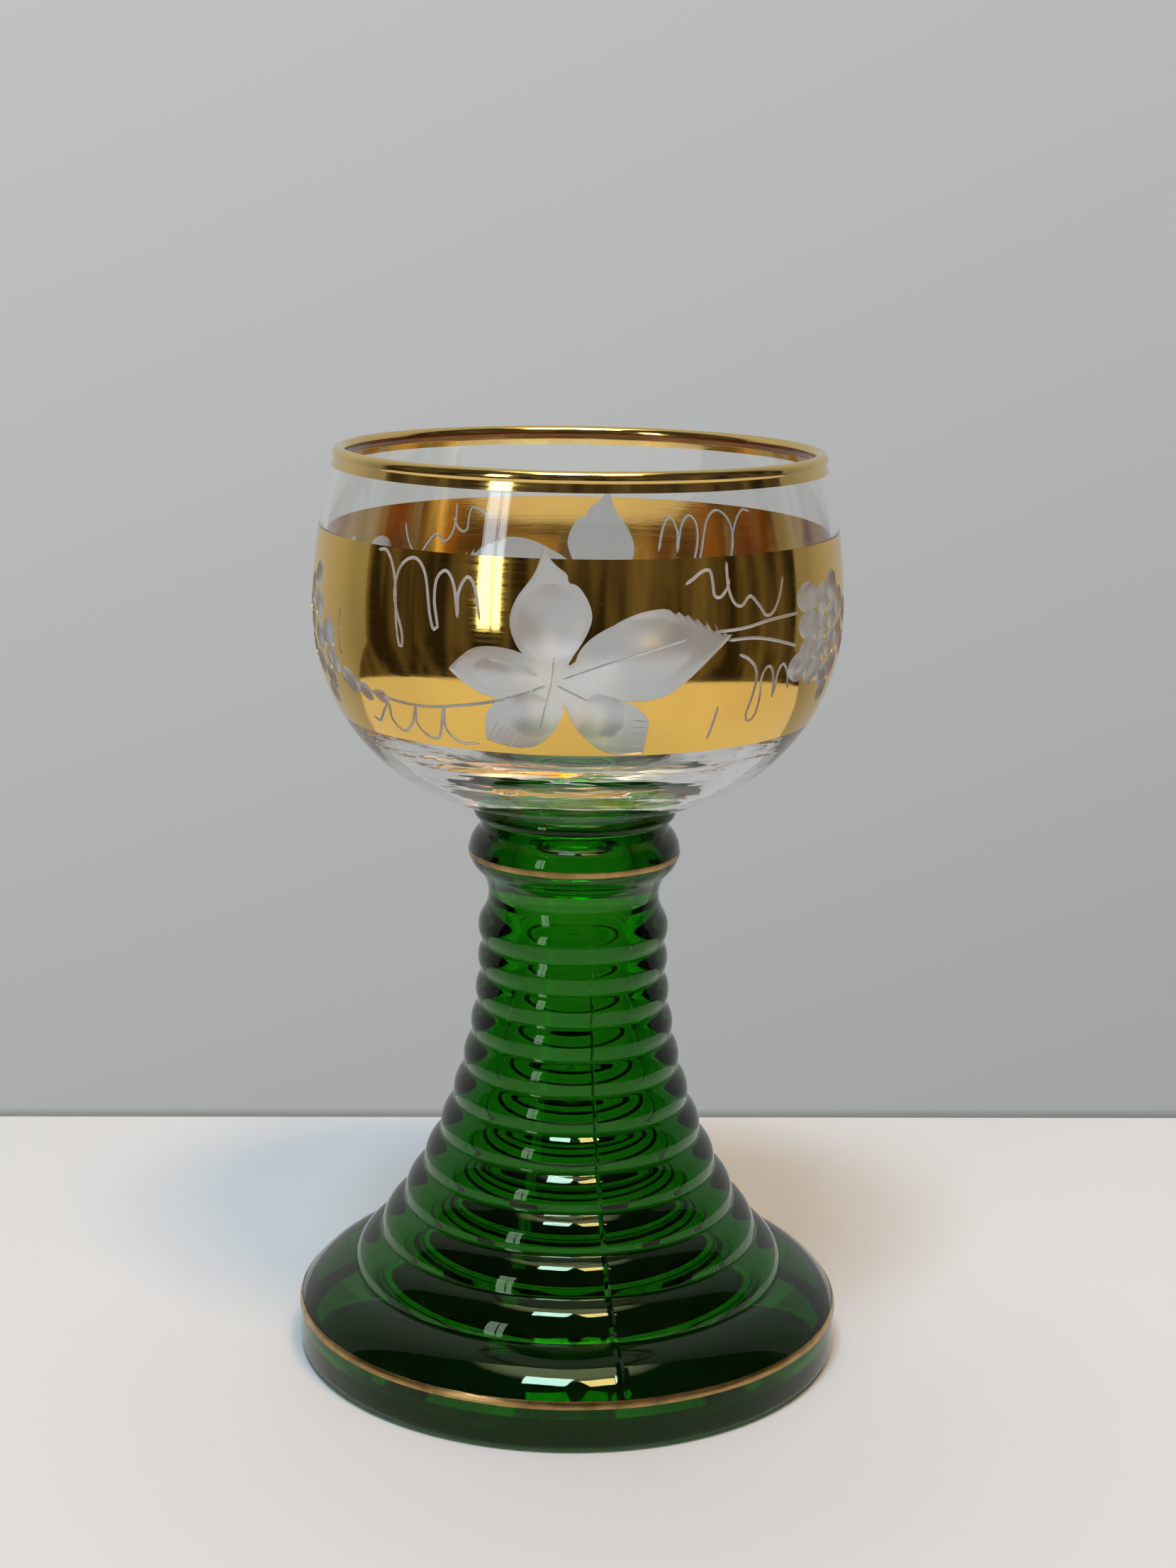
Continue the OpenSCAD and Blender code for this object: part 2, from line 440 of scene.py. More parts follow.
@dataclass(frozen=True)
class GreenGlass:
    """Pressed bottle-green glass, coloured through its depth."""

    tint: Colour = (0.98, 1.0, 0.98)
    ior: float = 1.5
    absorbed: Colour = (0.22, 0.75, 0.01)
    density: float = 640.0
    gloss: Colour = (0.56, 0.7, 0.46)
    marks: Grain = Grain(140.0, 2.0)
    mark_range: Point = (0.4, 0.8)
    mark_rough: float = 0.02
    waves: Grain = Grain(95.0, 2.0, (1.0, 1.0, 0.5))
    wave_strength: float = 0.1
    wave_height: float = 0.00012

    def make(self) -> bpy.types.Material:
        """Material of the green foot.

        Returns:
            The material.
        """
        brush = Brush("green_pressed_glass")
        brush.set(Base_Color=(*self.tint, 1.0), IOR=self.ior, Transmission_Weight=1.0)
        brush.set(Specular_Tint=(*self.gloss, 1.0))
        brush.set(Roughness=brush.spread(brush.noise(self.marks), 0.0, self.mark_rough, *self.mark_range))
        brush.relief(brush.noise(self.waves), self.wave_strength, self.wave_height)
        inputs = {"Color": (*self.absorbed, 1.0), "Density": self.density}
        depth = brush.node("ShaderNodeVolumeAbsorption", inputs)
        brush.feed(brush.output.inputs["Volume"], depth.outputs["Volume"])
        return brush.material


@dataclass(frozen=True)
class Gilding:
    """Fired gold: burnished on the bowl, redder and worn on the lines."""

    name: str
    bright: Colour
    worn: Colour
    smooth: float
    rough: float
    wear: Grain
    wear_range: Point = (0.42, 0.75)
    hairlines: Grain = Grain(260.0, 4.0, (0.4, 0.4, 14.0))
    grain: Grain = Grain(1500.0, 3.0, (0.5, 0.5, 3.0))
    grain_strength: float = 0.08
    grain_height: float = 0.00002

    def make(self) -> bpy.types.Material:
        """Material of one gilding.

        Returns:
            The material.
        """
        brush = Brush(self.name)
        brush.set(Metallic=1.0)
        patches = brush.spread(brush.noise(self.wear), 0.0, 1.0, *self.wear_range)
        brush.set(Base_Color=brush.blend(patches, self.bright, self.worn))
        brush.set(Roughness=brush.spread(brush.noise(self.hairlines), self.smooth, self.rough))
        brush.relief(brush.noise(self.grain), self.grain_strength, self.grain_height)
        return brush.material


BAND_GOLD = Gilding("burnished_band_gold", (0.86, 0.55, 0.13), (0.78, 0.48, 0.12), 0.04, 0.11,
                    Grain(90.0, 5.0))
LIP_GOLD = Gilding("lip_gold", (0.81, 0.565, 0.185), (0.72, 0.49, 0.18), 0.05, 0.15, Grain(140.0, 5.0))
LINE_GOLD = Gilding("worn_line_gold", (0.47, 0.29, 0.11), (0.2, 0.12, 0.05), 0.2, 0.4, Grain(420.0, 5.0))


# Turned pieces


class TurnedForm(Wiring):
    """Geometry Nodes tree that turns a profile round the axis of the glass.

    The profile is a chain of points in the XZ plane. It may carry a vector
    attribute named lift, which raises the mould seam at the starting angle.
    """

    INPUTS = {"Profile": "Geometry", "Steps": "Int", "Start Angle": "Float", "Seam Height": "Float",
              "Hand Waver": "Float", "Finish": "Material"}
    MERGED = 0.000002
    SEAM_SHARE = 0.0001
    ROW_SLACK = 0.25
    WAVER_CELLS = 7.0
    WAVER_OCTAVES = 3.0
    WAVER_RISE = 900.0
    WAVER_MIDDLE = 0.5
    SHARP_ANGLE = math.radians(34)

    def __init__(self) -> None:
        """Builds the tree and its named inputs."""
        super().__init__(bpy.data.node_groups.new("turned_form", "GeometryNodeTree"))
        for name, kind in self.INPUTS.items():
            self.tree.interface.new_socket(name, in_out="INPUT", socket_type="NodeSocket" + kind)
        self.tree.interface.new_socket("Form", in_out="OUTPUT", socket_type="NodeSocketGeometry")
        self._wire()

    def _sampled(self, profile: Socket, value: Socket, row: Socket) -> tuple[Socket, Socket]:
        """Radius and height parts of a profile vector at a row.

        Args:
            profile: profile geometry.
            value: vector field on it.
            row: index of the profile point.

        Returns:
            X and Z sockets.
        """
        inputs = {"Geometry": profile, "Value": value, "Index": row}
        sample = self.node("GeometryNodeSampleIndex", inputs, data_type="FLOAT_VECTOR", domain="POINT")
        parts = self.node("ShaderNodeSeparateXYZ", {0: sample.outputs["Value"]})
        return parts.outputs["X"], parts.outputs["Z"]

    def _wire(self) -> None:
        """Grid of columns and rows, wrapped round the axis and closed."""
        given = self.node("NodeGroupInput").outputs
        profile, steps = given["Profile"], given["Steps"]
        size = self.node("GeometryNodeAttributeDomainSize", {"Geometry": profile}, component="MESH")
        rows = size.outputs["Point Count"]
        columns = self.math("ADD", steps, 1.0)
        grid = self.node("GeometryNodeMeshGrid", {"Vertices X": columns, "Vertices Y": rows})
        index = self.node("GeometryNodeInputIndex").outputs["Index"]
        column = self.math("FLOOR", self.math("DIVIDE", self.math("ADD", index, self.ROW_SLACK), rows))
        row = self.math("SUBTRACT", index, self.product(column, rows))
        place = self.node("GeometryNodeInputPosition").outputs["Position"]
        radius, height = self._sampled(profile, place, row)
        named = self.node("GeometryNodeInputNamedAttribute", {"Name": "lift"}, data_type="FLOAT_VECTOR")
        out_r, out_z = self._sampled(profile, named.outputs["Attribute"], row)
        wrapped = self.math("FRACT", self.math("DIVIDE", column, steps))
        at_seam = self.product(self.math("LESS_THAN", wrapped, self.SEAM_SHARE), given["Seam Height"])
        radius = self.math("ADD", radius, self.product(out_r, at_seam))
        height = self.math("ADD", height, self.product(out_z, at_seam))
        angle = self.math("ADD", given["Start Angle"], self.product(wrapped, math.tau))
        across, along = self.math("COSINE", angle), self.math("SINE", angle)
        waver = self.product(self._waver(across, along, height), given["Hand Waver"])
        point = self._vector(self.product(radius, across), self.product(radius, along),
                             self.math("ADD", height, waver))
        form = grid.outputs["Mesh"]
        wrapping = {"SetPosition": {"Position": point}, "MergeByDistance": {"Distance": self.MERGED},
                    "RealizeInstances": {}, "SetMaterial": {"Material": given["Finish"]}}
        for kind, inputs in wrapping.items():
            form = self.node("GeometryNode" + kind, {"Geometry": form, **inputs}).outputs["Geometry"]
        self.node("NodeGroupOutput", {"Form": form})

    def _vector(self, x: Socket, y: Socket, z: Socket) -> Socket:
        """Vector of three parts."""
        return self.node("ShaderNodeCombineXYZ", {"X": x, "Y": y, "Z": z}).outputs["Vector"]

    def _waver(self, across: Socket, along: Socket, height: Socket) -> Socket:
        """Rise and fall round the axis, about zero, as of a line painted by hand.

        Args:
            across: cosine of the column's angle.
            along: sine of the column's angle.
            height: height of the point.

        Returns:
            Factor of the waver.
        """
        spot = self._vector(across, along, self.product(height, self.WAVER_RISE))
        noise = self.speckle(spot, self.WAVER_CELLS, self.WAVER_OCTAVES)
        return self.math("SUBTRACT", noise, self.WAVER_MIDDLE)

    def turn(self, name: str, profile: Sequence[Point], finish: bpy.types.Material, steps: int,
             start: float = 0.0, lift: Sequence[Point] = (),
             seam: float = 0.0, waver: float = 0.0) -> bpy.types.Object:
        """Turned piece as a plain mesh.

        Args:
            name: name of the piece.
            profile: radius and height of its points, upwards on the outside.
            finish: material.
            steps: number of columns.
            start: angle of the first column in radians.
            lift: direction in which the seam stands out at each point.
            seam: height of the mould seam.
            waver: rise and fall of a painted line.

        Returns:
            The piece, linked to the scene.
        """
        mesh = bpy.data.meshes.new(name)
        points = [(r * MM, 0.0, z * MM) for r, z in profile]
        mesh.from_pydata(points, [(i, i + 1) for i in range(len(points) - 1)], [])
        raised = mesh.attributes.new("lift", "FLOAT_VECTOR", "POINT")
        for i, way in enumerate(lift):
            raised.data[i].vector = (way[0], 0.0, way[1])
        piece = placed(name, mesh)
        modifier = piece.modifiers.new("turned_form", "NODES")
        modifier.node_group = self.tree
        values = {"Steps": steps, "Start Angle": start, "Seam Height": seam * MM,
                  "Hand Waver": waver * MM, "Finish": finish}
        for item in self.tree.interface.items_tree:
            if item.name in values:
                modifier[item.identifier] = values[item.name]
        graph = bpy.context.evaluated_depsgraph_get()
        solid = bpy.data.meshes.new_from_object(piece.evaluated_get(graph), depsgraph=graph)
        piece.modifiers.remove(modifier)
        piece.data = solid
        bpy.data.meshes.remove(mesh)
        solid.name = name
        solid.polygons.foreach_set("use_smooth", [True] * len(solid.polygons))
        solid.set_sharp_from_angle(angle=self.SHARP_ANGLE)
        return piece


# The glass


@dataclass
class BowlShape:
    """Sizes of the blown bowl."""

    wide_z: float = 99.5
    top_z: float = 120.0
    bowl_r: float = 33.8
    mouth_r: float = 30.55
    wall: float = 1.1
    floor: float = 5.0
    floor_rows: tuple[float, ...] = (0.0, 4.0, 8.0)
    bead_r: float = 0.8
    bead_out: float = 0.4
    bead_inside: float = 0.58

    def __post_init__(self) -> None:
        """Radii of the two arcs and the place of the bead."""
        self.low_arc = upright_arc(self.bowl_r - JOINT_R, self.wide_z - JOINT_Z)
        self.high_arc = upright_arc(self.bowl_r - self.mouth_r, self.top_z - self.wide_z)
        bead_z = self.top_z - self.bead_r
        self.bead_c = (self.radius(bead_z) + self.bead_out - self.bead_r, bead_z)

    def _reach(self, z: float) -> float:
        """Radius of the wall's arc at a height."""
        return self.high_arc if z > self.wide_z else self.low_arc

    def radius(self, z: float) -> float:
        """Outside radius of the wall at a height."""
        reach, rise = self._reach(z), abs(z - self.wide_z)
        return self.bowl_r - reach + math.sqrt(reach * reach - min(rise, reach) ** 2)

    def normal(self, z: float) -> Point:
        """Outward normal of the wall at a height, as radius and height parts."""
        sine = max(-1.0, min(1.0, (z - self.wide_z) / self._reach(z)))
        return math.sqrt(1 - sine * sine), sine

    def wall_run(self, low_z: float, high_z: float, steps: int) -> list[Point]:
        """Run of the outside wall between two heights on one of its arcs.

        Args:
            low_z: height of the lower end.
            high_z: height of the upper end.
            steps: number of steps.

        Returns:
            Points of the run, upwards.
        """
        reach = self._reach(high_z)
        start, end = (math.asin((z - self.wide_z) / reach) for z in (low_z, high_z))
        return arc((self.bowl_r - reach, self.wide_z), reach, start, end, steps)

    def inner_path(self, foot_steps: int, wall_steps: int) -> list[Point]:
        """Inside of the bowl from the bead down to the middle of its floor.

        Args:
            foot_steps: steps of the lower arc.
            wall_steps: steps of the upper arc.

        Returns:
            Points of the run, downwards.
        """
        reach = self.high_arc - self.wall
        top = math.asin((self.bead_c[1] - self.bead_inside * self.bead_r - self.wide_z) / reach)
        low = self.wide_z - JOINT_Z - self.floor
        wall = arc((self.bowl_r - self.high_arc, self.wide_z), reach, top, 0.0, wall_steps)
        bottom = arc((self.bowl_r - self.wall - low, self.wide_z), low, 0.0, -math.pi / 2, foot_steps)
        return wall + bottom[1:] + [(r, JOINT_Z + self.floor) for r in reversed(self.floor_rows)]

    def bead_path(self, start: float, end: float, steps: int) -> list[Point]:
        """Run round the bead between two angles in degrees."""
        return arc(self.bead_c, self.bead_r, math.radians(start), math.radians(end), steps)

    def place(self, azimuth: float, z: float, out: float = 0.0) -> Vector:
        """Point at a distance out from the wall, in metres."""
        across, up = self.normal(z)
        return Vector((*bearing(azimuth, self.radius(z) + out * across), z + out * up)) * MM

    def facing(self, azimuth: float, z: float) -> Vector:
        """Outward unit normal at a point of the wall."""
        across, up = self.normal(z)
        return Vector((*bearing(azimuth, across), up))

    def facing_at(self, point: Vector) -> Vector:
        """Outward unit normal of the wall beside a point that is given in metres."""
        return self.facing(math.degrees(math.atan2(point.x, -point.y)), point.z / MM)


@dataclass(frozen=True)
class Lobe:
    """One lobe of the leaf, from the leaf's middle to its tip.

    The tip is an azimuth and a height. Each side, left and right of the run,
    is a row of half widths at shares of the length. Teeth are cut into the
    end of the left side.
    """

    tip: Point
    left: tuple[Point, ...]
    right: tuple[Point, ...]
    teeth: int = 0
    tooth: float = 0.0


@dataclass(frozen=True)
class Grape:
    """One oval cut of a bunch or of the leaf: its middle, its half sizes, its tilt and its depth."""

    azimuth: float
    z: float
    half_w: float = 2.0
    half_h: float = 1.8
    tilt: float = 0.0
    depth: float = 0.42


LEAF_MIDDLE: Point = (-4.5, 95.9)

LEAF_LOBES: tuple[Lobe, ...] = (
    Lobe((-6.7, 111.4),
         ((0.0, 0.6), (0.19, 2.8), (0.28, 3.8), (0.38, 4.4), (0.47, 4.57), (0.56, 4.25), (0.66, 3.4),
          (0.73, 2.45), (0.8, 1.55), (0.87, 0.9), (0.94, 0.52), (1.0, 0.25)),
         ((0.0, 0.6), (0.19, 2.6), (0.28, 3.7), (0.38, 4.65), (0.47, 5.1), (0.56, 4.95), (0.66, 4.25),
          (0.715, 3.55), (0.735, 2.75), (0.8, 2.5), (0.87, 1.3), (0.94, 0.45), (1.0, 0.25))),
    Lobe((32.8, 101.1),
         ((0.0, 0.6), (0.13, 1.8), (0.23, 3.1), (0.31, 4.3), (0.39, 5.15), (0.5, 5.62), (0.6, 5.57),
          (0.67, 5.2), (0.75, 4.3), (0.84, 2.65), (0.91, 1.15), (1.0, 0.05)),
         ((0.0, 0.6), (0.19, 2.45), (0.28, 3.4), (0.37, 4.35), (0.47, 4.8), (0.57, 4.78), (0.67, 4.0),
          (0.78, 2.7), (0.86, 1.7), (0.96, 0.55), (1.0, 0.05)), 7, 0.6),
    Lobe((15.4, 86.8),
         ((0.0, 0.6), (0.2, 1.3), (0.34, 2.2), (0.44, 2.8), (0.56, 3.5), (0.68, 3.85), (0.77, 3.75),
          (0.84, 3.3), (0.93, 1.4), (1.0, 0.05)),
         ((0.0, 0.6), (0.18, 1.35), (0.3, 2.3), (0.42, 2.9), (0.57, 3.15), (0.69, 2.95), (0.81, 2.25),
          (0.92, 1.0), (1.0, 0.05)), 5, 0.2),
    Lobe((-19.3, 88.2),
         ((0.0, 1.6), (0.06, 2.7), (0.16, 3.8), (0.3, 4.5), (0.48, 4.75), (0.66, 4.3), (0.78, 3.4),
          (0.9, 1.85), (1.0, 0.1)),
         ((0.0, 0.6), (0.3, 1.7), (0.54, 2.5), (0.68, 2.55), (0.81, 2.15), (0.89, 1.3), (0.93, 1.0),
          (1.0, 0.1)), 4, 0.25),
    Lobe((-26.2, 96.8),
         ((0.0, 0.6), (0.27, 1.95), (0.45, 2.75), (0.62, 2.55), (0.77, 1.9), (0.92, 0.8), (1.0, 0.05)),
         ((0.0, 0.6), (0.2, 2.4), (0.32, 3.15), (0.48, 3.45), (0.65, 3.35), (0.78, 2.8), (0.89, 1.6),
          (1.0, 0.05))),
)

LEAF_SCOOPS: tuple[Grape, ...] = (
    Grape(-5.1, 102.9, 4.1, 4.7, 0.0, 0.58), Grape(12.3, 99.3, 7.4, 4.1, 13.0, 0.58),
    Grape(5.2, 91.6, 3.2, 3.1, 0.0, 0.52), Grape(-9.2, 91.7, 3.1, 3.0, 0.0, 0.52),
    Grape(-14.4, 96.5, 4.2, 2.2, -5.0, 0.44),
)

RIGHT_GRAPES: tuple[Grape, ...] = (
    Grape(55.7, 104.2, 2.6, 1.9), Grape(56.0, 100.9, 2.4, 1.9), Grape(62.2, 103.6, 1.9, 2.0),
    Grape(61.0, 100.2, 2.0, 1.9), Grape(56.3, 97.8, 2.2, 1.6), Grape(61.2, 97.2, 1.9, 1.6),
    Grape(53.4, 95.9, 2.5, 1.9), Grape(59.2, 94.9, 2.2, 1.7), Grape(67.8, 104.9, 2.0, 1.9),
    Grape(67.4, 101.2, 1.9, 1.9), Grape(66.9, 97.8, 1.9, 1.8), Grape(72.9, 102.6, 1.9, 1.9),
    Grape(72.6, 98.8, 1.9, 1.9), Grape(65.2, 94.2, 2.0, 1.6), Grape(70.6, 94.9, 1.9, 1.7),
    Grape(68.0, 91.7, 1.8, 1.4), Grape(78.2, 101.0, 1.8, 1.8), Grape(77.2, 97.0, 1.7, 1.7),
)

LEFT_GRAPES: tuple[Grape, ...] = (
    Grape(-64.2, 98.2, 1.9, 2.2), Grape(-63.0, 95.0, 2.0, 1.6, -25.0), Grape(-56.2, 93.1, 2.2, 1.4, -30.0),
    Grape(-50.6, 92.2, 1.6, 1.0, -25.0), Grape(-45.4, 92.0, 1.3, 0.8, -15.0),
    Grape(-68.6, 90.4, 1.6, 1.3, -20.0), Grape(-66.4, 92.6, 1.8, 1.3, -30.0),
    Grape(-71.8, 104.8, 1.7, 1.7), Grape(-70.8, 101.3, 1.8, 1.9), Grape(-70.3, 97.4, 1.9, 1.9),
    Grape(-72.4, 93.9, 1.9, 1.6), Grape(-77.0, 103.0, 1.7, 1.8), Grape(-76.8, 99.2, 1.8, 1.9),
    Grape(-77.6, 95.6, 1.7, 1.7), Grape(-82.0, 101.0, 1.6, 1.7),
)

VEINS: tuple[tuple[Point, ...], ...] = (
    ((-2.5, 96.3), (6.0, 98.0), (22.6, 100.8)),
    ((-4.2, 99.1), (-5.0, 95.2), (-7.7, 89.6)),
    ((-7.6, 96.6), (-12.5, 97.7), (-17.3, 98.3)),
    ((-3.6, 95.5), (0.4, 94.3), (2.6, 93.7)),
)

WHEEL_STROKES: tuple[tuple[Point, ...], ...] = (
    tuple(((-19.0 + 1.15 * k, 88.5 - 0.28 * k), (-16.3 + 1.1 * k, 90.6 - 0.4 * k)) for k in range(5))
    + tuple(((18.4 + 2.0 * k, 104.5 - 0.4 * k), (20.6 + 1.9 * k, 103.0 - 0.42 * k)) for k in range(6))
    + tuple(((14.9, 91.0 - 0.8 * k), (12.1, 91.2 - 0.85 * k)) for k in range(5))
)

ENGRAVED: tuple[tuple[Point, ...], ...] = (
    ((-6.0, 95.4), (-11.0, 94.2), (-17.7, 93.1), (-25.9, 92.2), (-33.0, 91.7), (-40.8, 91.8), (-48.4, 92.4)),
    ((29.0, 101.5), (36.0, 101.7), (43.0, 102.3), (52.0, 102.6)),
    ((31.8, 100.4), (38.0, 100.4), (44.0, 99.8), (51.5, 98.6)),
    ((-45.6, 109.7), (-42.6, 109.6), (-40.0, 106.6), (-39.0, 101.2), (-38.2, 98.8), (-37.5, 98.8),
     (-37.6, 100.6), (-39.8, 104.6), (-38.8, 108.0), (-35.2, 109.3), (-32.2, 107.6), (-30.6, 103.0),
     (-29.6, 101.2), (-28.7, 101.6), (-29.6, 104.6), (-29.3, 107.2), (-27.3, 108.2), (-25.3, 106.6),
     (-24.2, 102.8)),
    ((-24.2, 103.0), (-24.2, 105.8), (-22.4, 107.7), (-20.6, 106.4), (-19.4, 102.8)),
    ((-50.6, 89.0), (-48.6, 88.6), (-45.4, 90.4), (-43.4, 91.2), (-43.9, 89.2), (-41.4, 87.9), (-38.0, 89.0),
     (-35.6, 91.4), (-36.4, 89.4), (-34.2, 87.8), (-31.0, 88.0), (-28.2, 92.0), (-28.8, 89.2), (-26.0, 87.5),
     (-21.4, 87.6)),
    ((22.1, 107.2), (24.0, 107.9), (25.8, 108.6), (27.6, 108.7), (28.2, 107.2), (28.5, 105.8), (29.8, 105.5),
     (31.4, 106.4), (32.2, 107.6)),
    ((31.6, 109.6), (31.8, 106.8), (33.0, 104.9), (35.0, 104.3), (37.2, 105.4), (39.6, 104.2), (41.6, 102.9),
     (43.6, 103.2), (45.6, 105.0), (46.9, 107.4)),
    ((34.6, 98.6), (37.4, 97.8), (39.6, 96.2), (39.4, 93.2), (38.8, 90.9), (40.2, 90.0), (41.6, 90.8),
     (41.6, 93.2), (41.2, 95.4), (42.6, 96.7), (44.4, 95.9), (45.6, 92.6)),
    ((45.7, 93.2), (46.0, 95.8), (47.4, 96.7), (49.0, 95.6), (50.2, 93.4)),
    ((30.8, 92.4), (30.4, 90.0), (30.0, 88.2)),
    ((-58.0, 101.8), (-58.6, 97.4), (-58.2, 96.2)),
)


def near_tree(points: Sequence[Sequence[float]]) -> kdtree.KDTree:
    """Search tree over points of the unrolled wall.

    Args:
        points: the points.

    Returns:
        The tree, ready for use.
    """
    tree = kdtree.KDTree(len(points))
    for i, (x, y) in enumerate(points):
        tree.insert((x, y, 0.0), i)
    tree.balance()
    return tree


@dataclass
class VineCut:
    """The vine that is cut through the gold: leaf, grapes and engraved lines.

    It works on the unrolled wall, where x is the azimuth times the widest
    radius and y is the height. The front motif is repeated on the back.
    """

    shape: BowlShape
    turns: Point = (0.0, -180.0)
    least_area: float = 0.0001
    core_r: float = 2.9
    core_corners: int = 24
    core_edge: float = 3.0
    core_near_squared: float = 30.0
    shallow: float = 0.06
    lobe_steps: int = 64
    lobe_least: float = 0.04
    lobe_floor: float = 0.06
    lobe_edge: float = 4.0
    lobe_margin: float = 0.05
    tooth_start: float = 0.66
    oval_corners: int = 28
    oval_fineness: int = 8
    oval_near_squared: float = 80.0
    vein_half: float = 0.12
    stroke_half: float = 0.08
    line_half: float = 0.2
    line_depth: float = 0.1
    line_share: float = 0.8
    line_pace: float = 0.5
    line_tip: float = 0.35
    slope_step: float = 0.05
    slope_limit: float = 0.7

    def __post_init__(self) -> None:
        """Lays out the front and the back motif."""
        self.unit = math.radians(1.0) * self.shape.bowl_r
        self.faces: list[list[Point]] = []
        self.cores: list[Point] = []
        self.lobes: list[tuple[Lobe, Vector, Vector, float]] = []
        self.ovals: list[tuple[Grape, Vector, Matrix]] = []
        self.line_points: list[Vector] = []
        for turn in self.turns:
            self._scoops(turn)
        self.scooped = len(self.faces)
        for turn in self.turns:
            self._lines(turn)
        self.tree = near_tree(self.line_points)

    def flat(self, azimuth: float, z: float) -> Point:
        """Point of the unrolled wall."""
        return azimuth * self.unit, z

    def _add(self, corners: Sequence[Sequence[float]]) -> None:
        """Keeps an outline, turned counter-clockwise, unless it is a mere sliver.

        Args:
            corners: corners of the outline.
        """
        loop = [(x, y) for x, y in corners]
        area = sum(a[0] * b[1] - b[0] * a[1] for a, b in zip(loop, loop[1:] + loop[:1]))
        if abs(area) > self.least_area:
            self.faces.append(loop if area > 0.0 else loop[::-1])

    def _scoops(self, turn: float) -> None:
        """Outlines of the leaf's middle, its lobes and the oval cuts.

        Args:
            turn: azimuth that the motif is turned by.
        """
        core = self.flat(LEAF_MIDDLE[0] + turn, LEAF_MIDDLE[1])
        self.cores.append(core)
        self._add(ring(core, self.core_r, self.core_corners))
        for lobe in LEAF_LOBES:
            run = Vector(self.flat(lobe.tip[0] + turn, lobe.tip[1])) - Vector(core)
            self.lobes.append((lobe, Vector(core), run.normalized(), run.length))
            self._add(self._lobe_outline(*self.lobes[-1]))
        for oval in RIGHT_GRAPES + LEFT_GRAPES + LEAF_SCOOPS:
            centre = Vector(self.flat(oval.azimuth + turn, oval.z))
            tilt = Matrix.Rotation(math.radians(oval.tilt), 2)
            self.ovals.append((oval, centre, tilt.inverted()))
            corners = ring((0.0, 0.0), 1.0, max(self.oval_corners, round(self.oval_fineness * oval.half_w)))
            self._add([centre + tilt @ Vector((x * oval.half_w, y * oval.half_h)) for x, y in corners])

    def _lobe_outline(self, lobe: Lobe, start: Vector, way: Vector, length: float) -> list[Vector]:
        """Outline of a lobe with its teeth.

        Args:
            lobe: the lobe.
            start: middle of the leaf.
            way: direction of the lobe.
            length: length of the lobe.

        Returns:
            Corners of the outline.
        """
        side = Vector((-way.y, way.x))
        left, right = [], []
        for i in range(1, self.lobe_steps):
            share = i / self.lobe_steps
            notch = 0.0
            if lobe.teeth and share > self.tooth_start:
                notch = lobe.tooth * ((share - self.tooth_start) / (1 - self.tooth_start) * lobe.teeth % 1.0)
            spine = start + way * (share * length)
            left.append(spine + side * max(read_row(lobe.left, share) - notch, self.lobe_least))
            right.append(spine - side * max(read_row(lobe.right, share), self.lobe_least))
        return [start] + right + [start + way * length] + left[::-1]

    def _smoothed(self, points: Sequence[Vector]) -> list[Vector]:
        """Smooth run through points, with about the same pace between its points.

        Args:
            points: points that it goes through.

        Returns:
            Points of the run.
        """
        ends = [points[0] * 2 - points[1]] + list(points) + [points[-1] * 2 - points[-2]]
        run = [points[0]]
        for i in range(1, len(ends) - 2):
            p0, p1, p2, p3 = ends[i - 1:i + 3]
            steps = max(1, round((p2 - p1).length / self.line_pace))
            for k in range(1, steps + 1):
                t = k / steps
                run.append(0.5 * (2 * p1 + (p2 - p0) * t + (2 * p0 - 5 * p1 + 4 * p2 - p3) * t * t
                                  + (3 * p1 - p0 - 3 * p2 + p3) * t * t * t))
        return run

    def _lines(self, turn: float) -> None:
        """Narrow strips of the veins, the wheel's strokes and the engraved lines.

        Args:
            turn: azimuth that the motif is turned by.
        """
        groups = ((VEINS, self.vein_half), (WHEEL_STROKES, self.stroke_half), (ENGRAVED, self.line_half))
        for group, half in groups:
            for line in group:
                self._strip(self._smoothed([Vector(self.flat(a + turn, z)) for a, z in line]), half)

    def _strip(self, run: Sequence[Vector], half: float) -> None:
        """Two rows of small faces along one line, each side of its middle.

        Args:
            run: points of the line.
            half: half width of the line.
        """
        sides = []
        for i in range(len(run)):
            way = (run[min(i + 1, len(run) - 1)] - run[max(i - 1, 0)]).normalized()
            reach = half * (self.line_tip if i in (0, len(run) - 1) else 1.0)
            sides.append(Vector((-way.y, way.x)) * reach)
        self.line_points.extend(run)
        for i in range(len(run) - 1):
            a, b, sa, sb = run[i], run[i + 1], sides[i], sides[i + 1]
            for loop in ((a, b, b + sb), (a, b + sb, a + sa), (a - sa, b - sb, b), (a - sa, b, a)):
                self._add(loop)

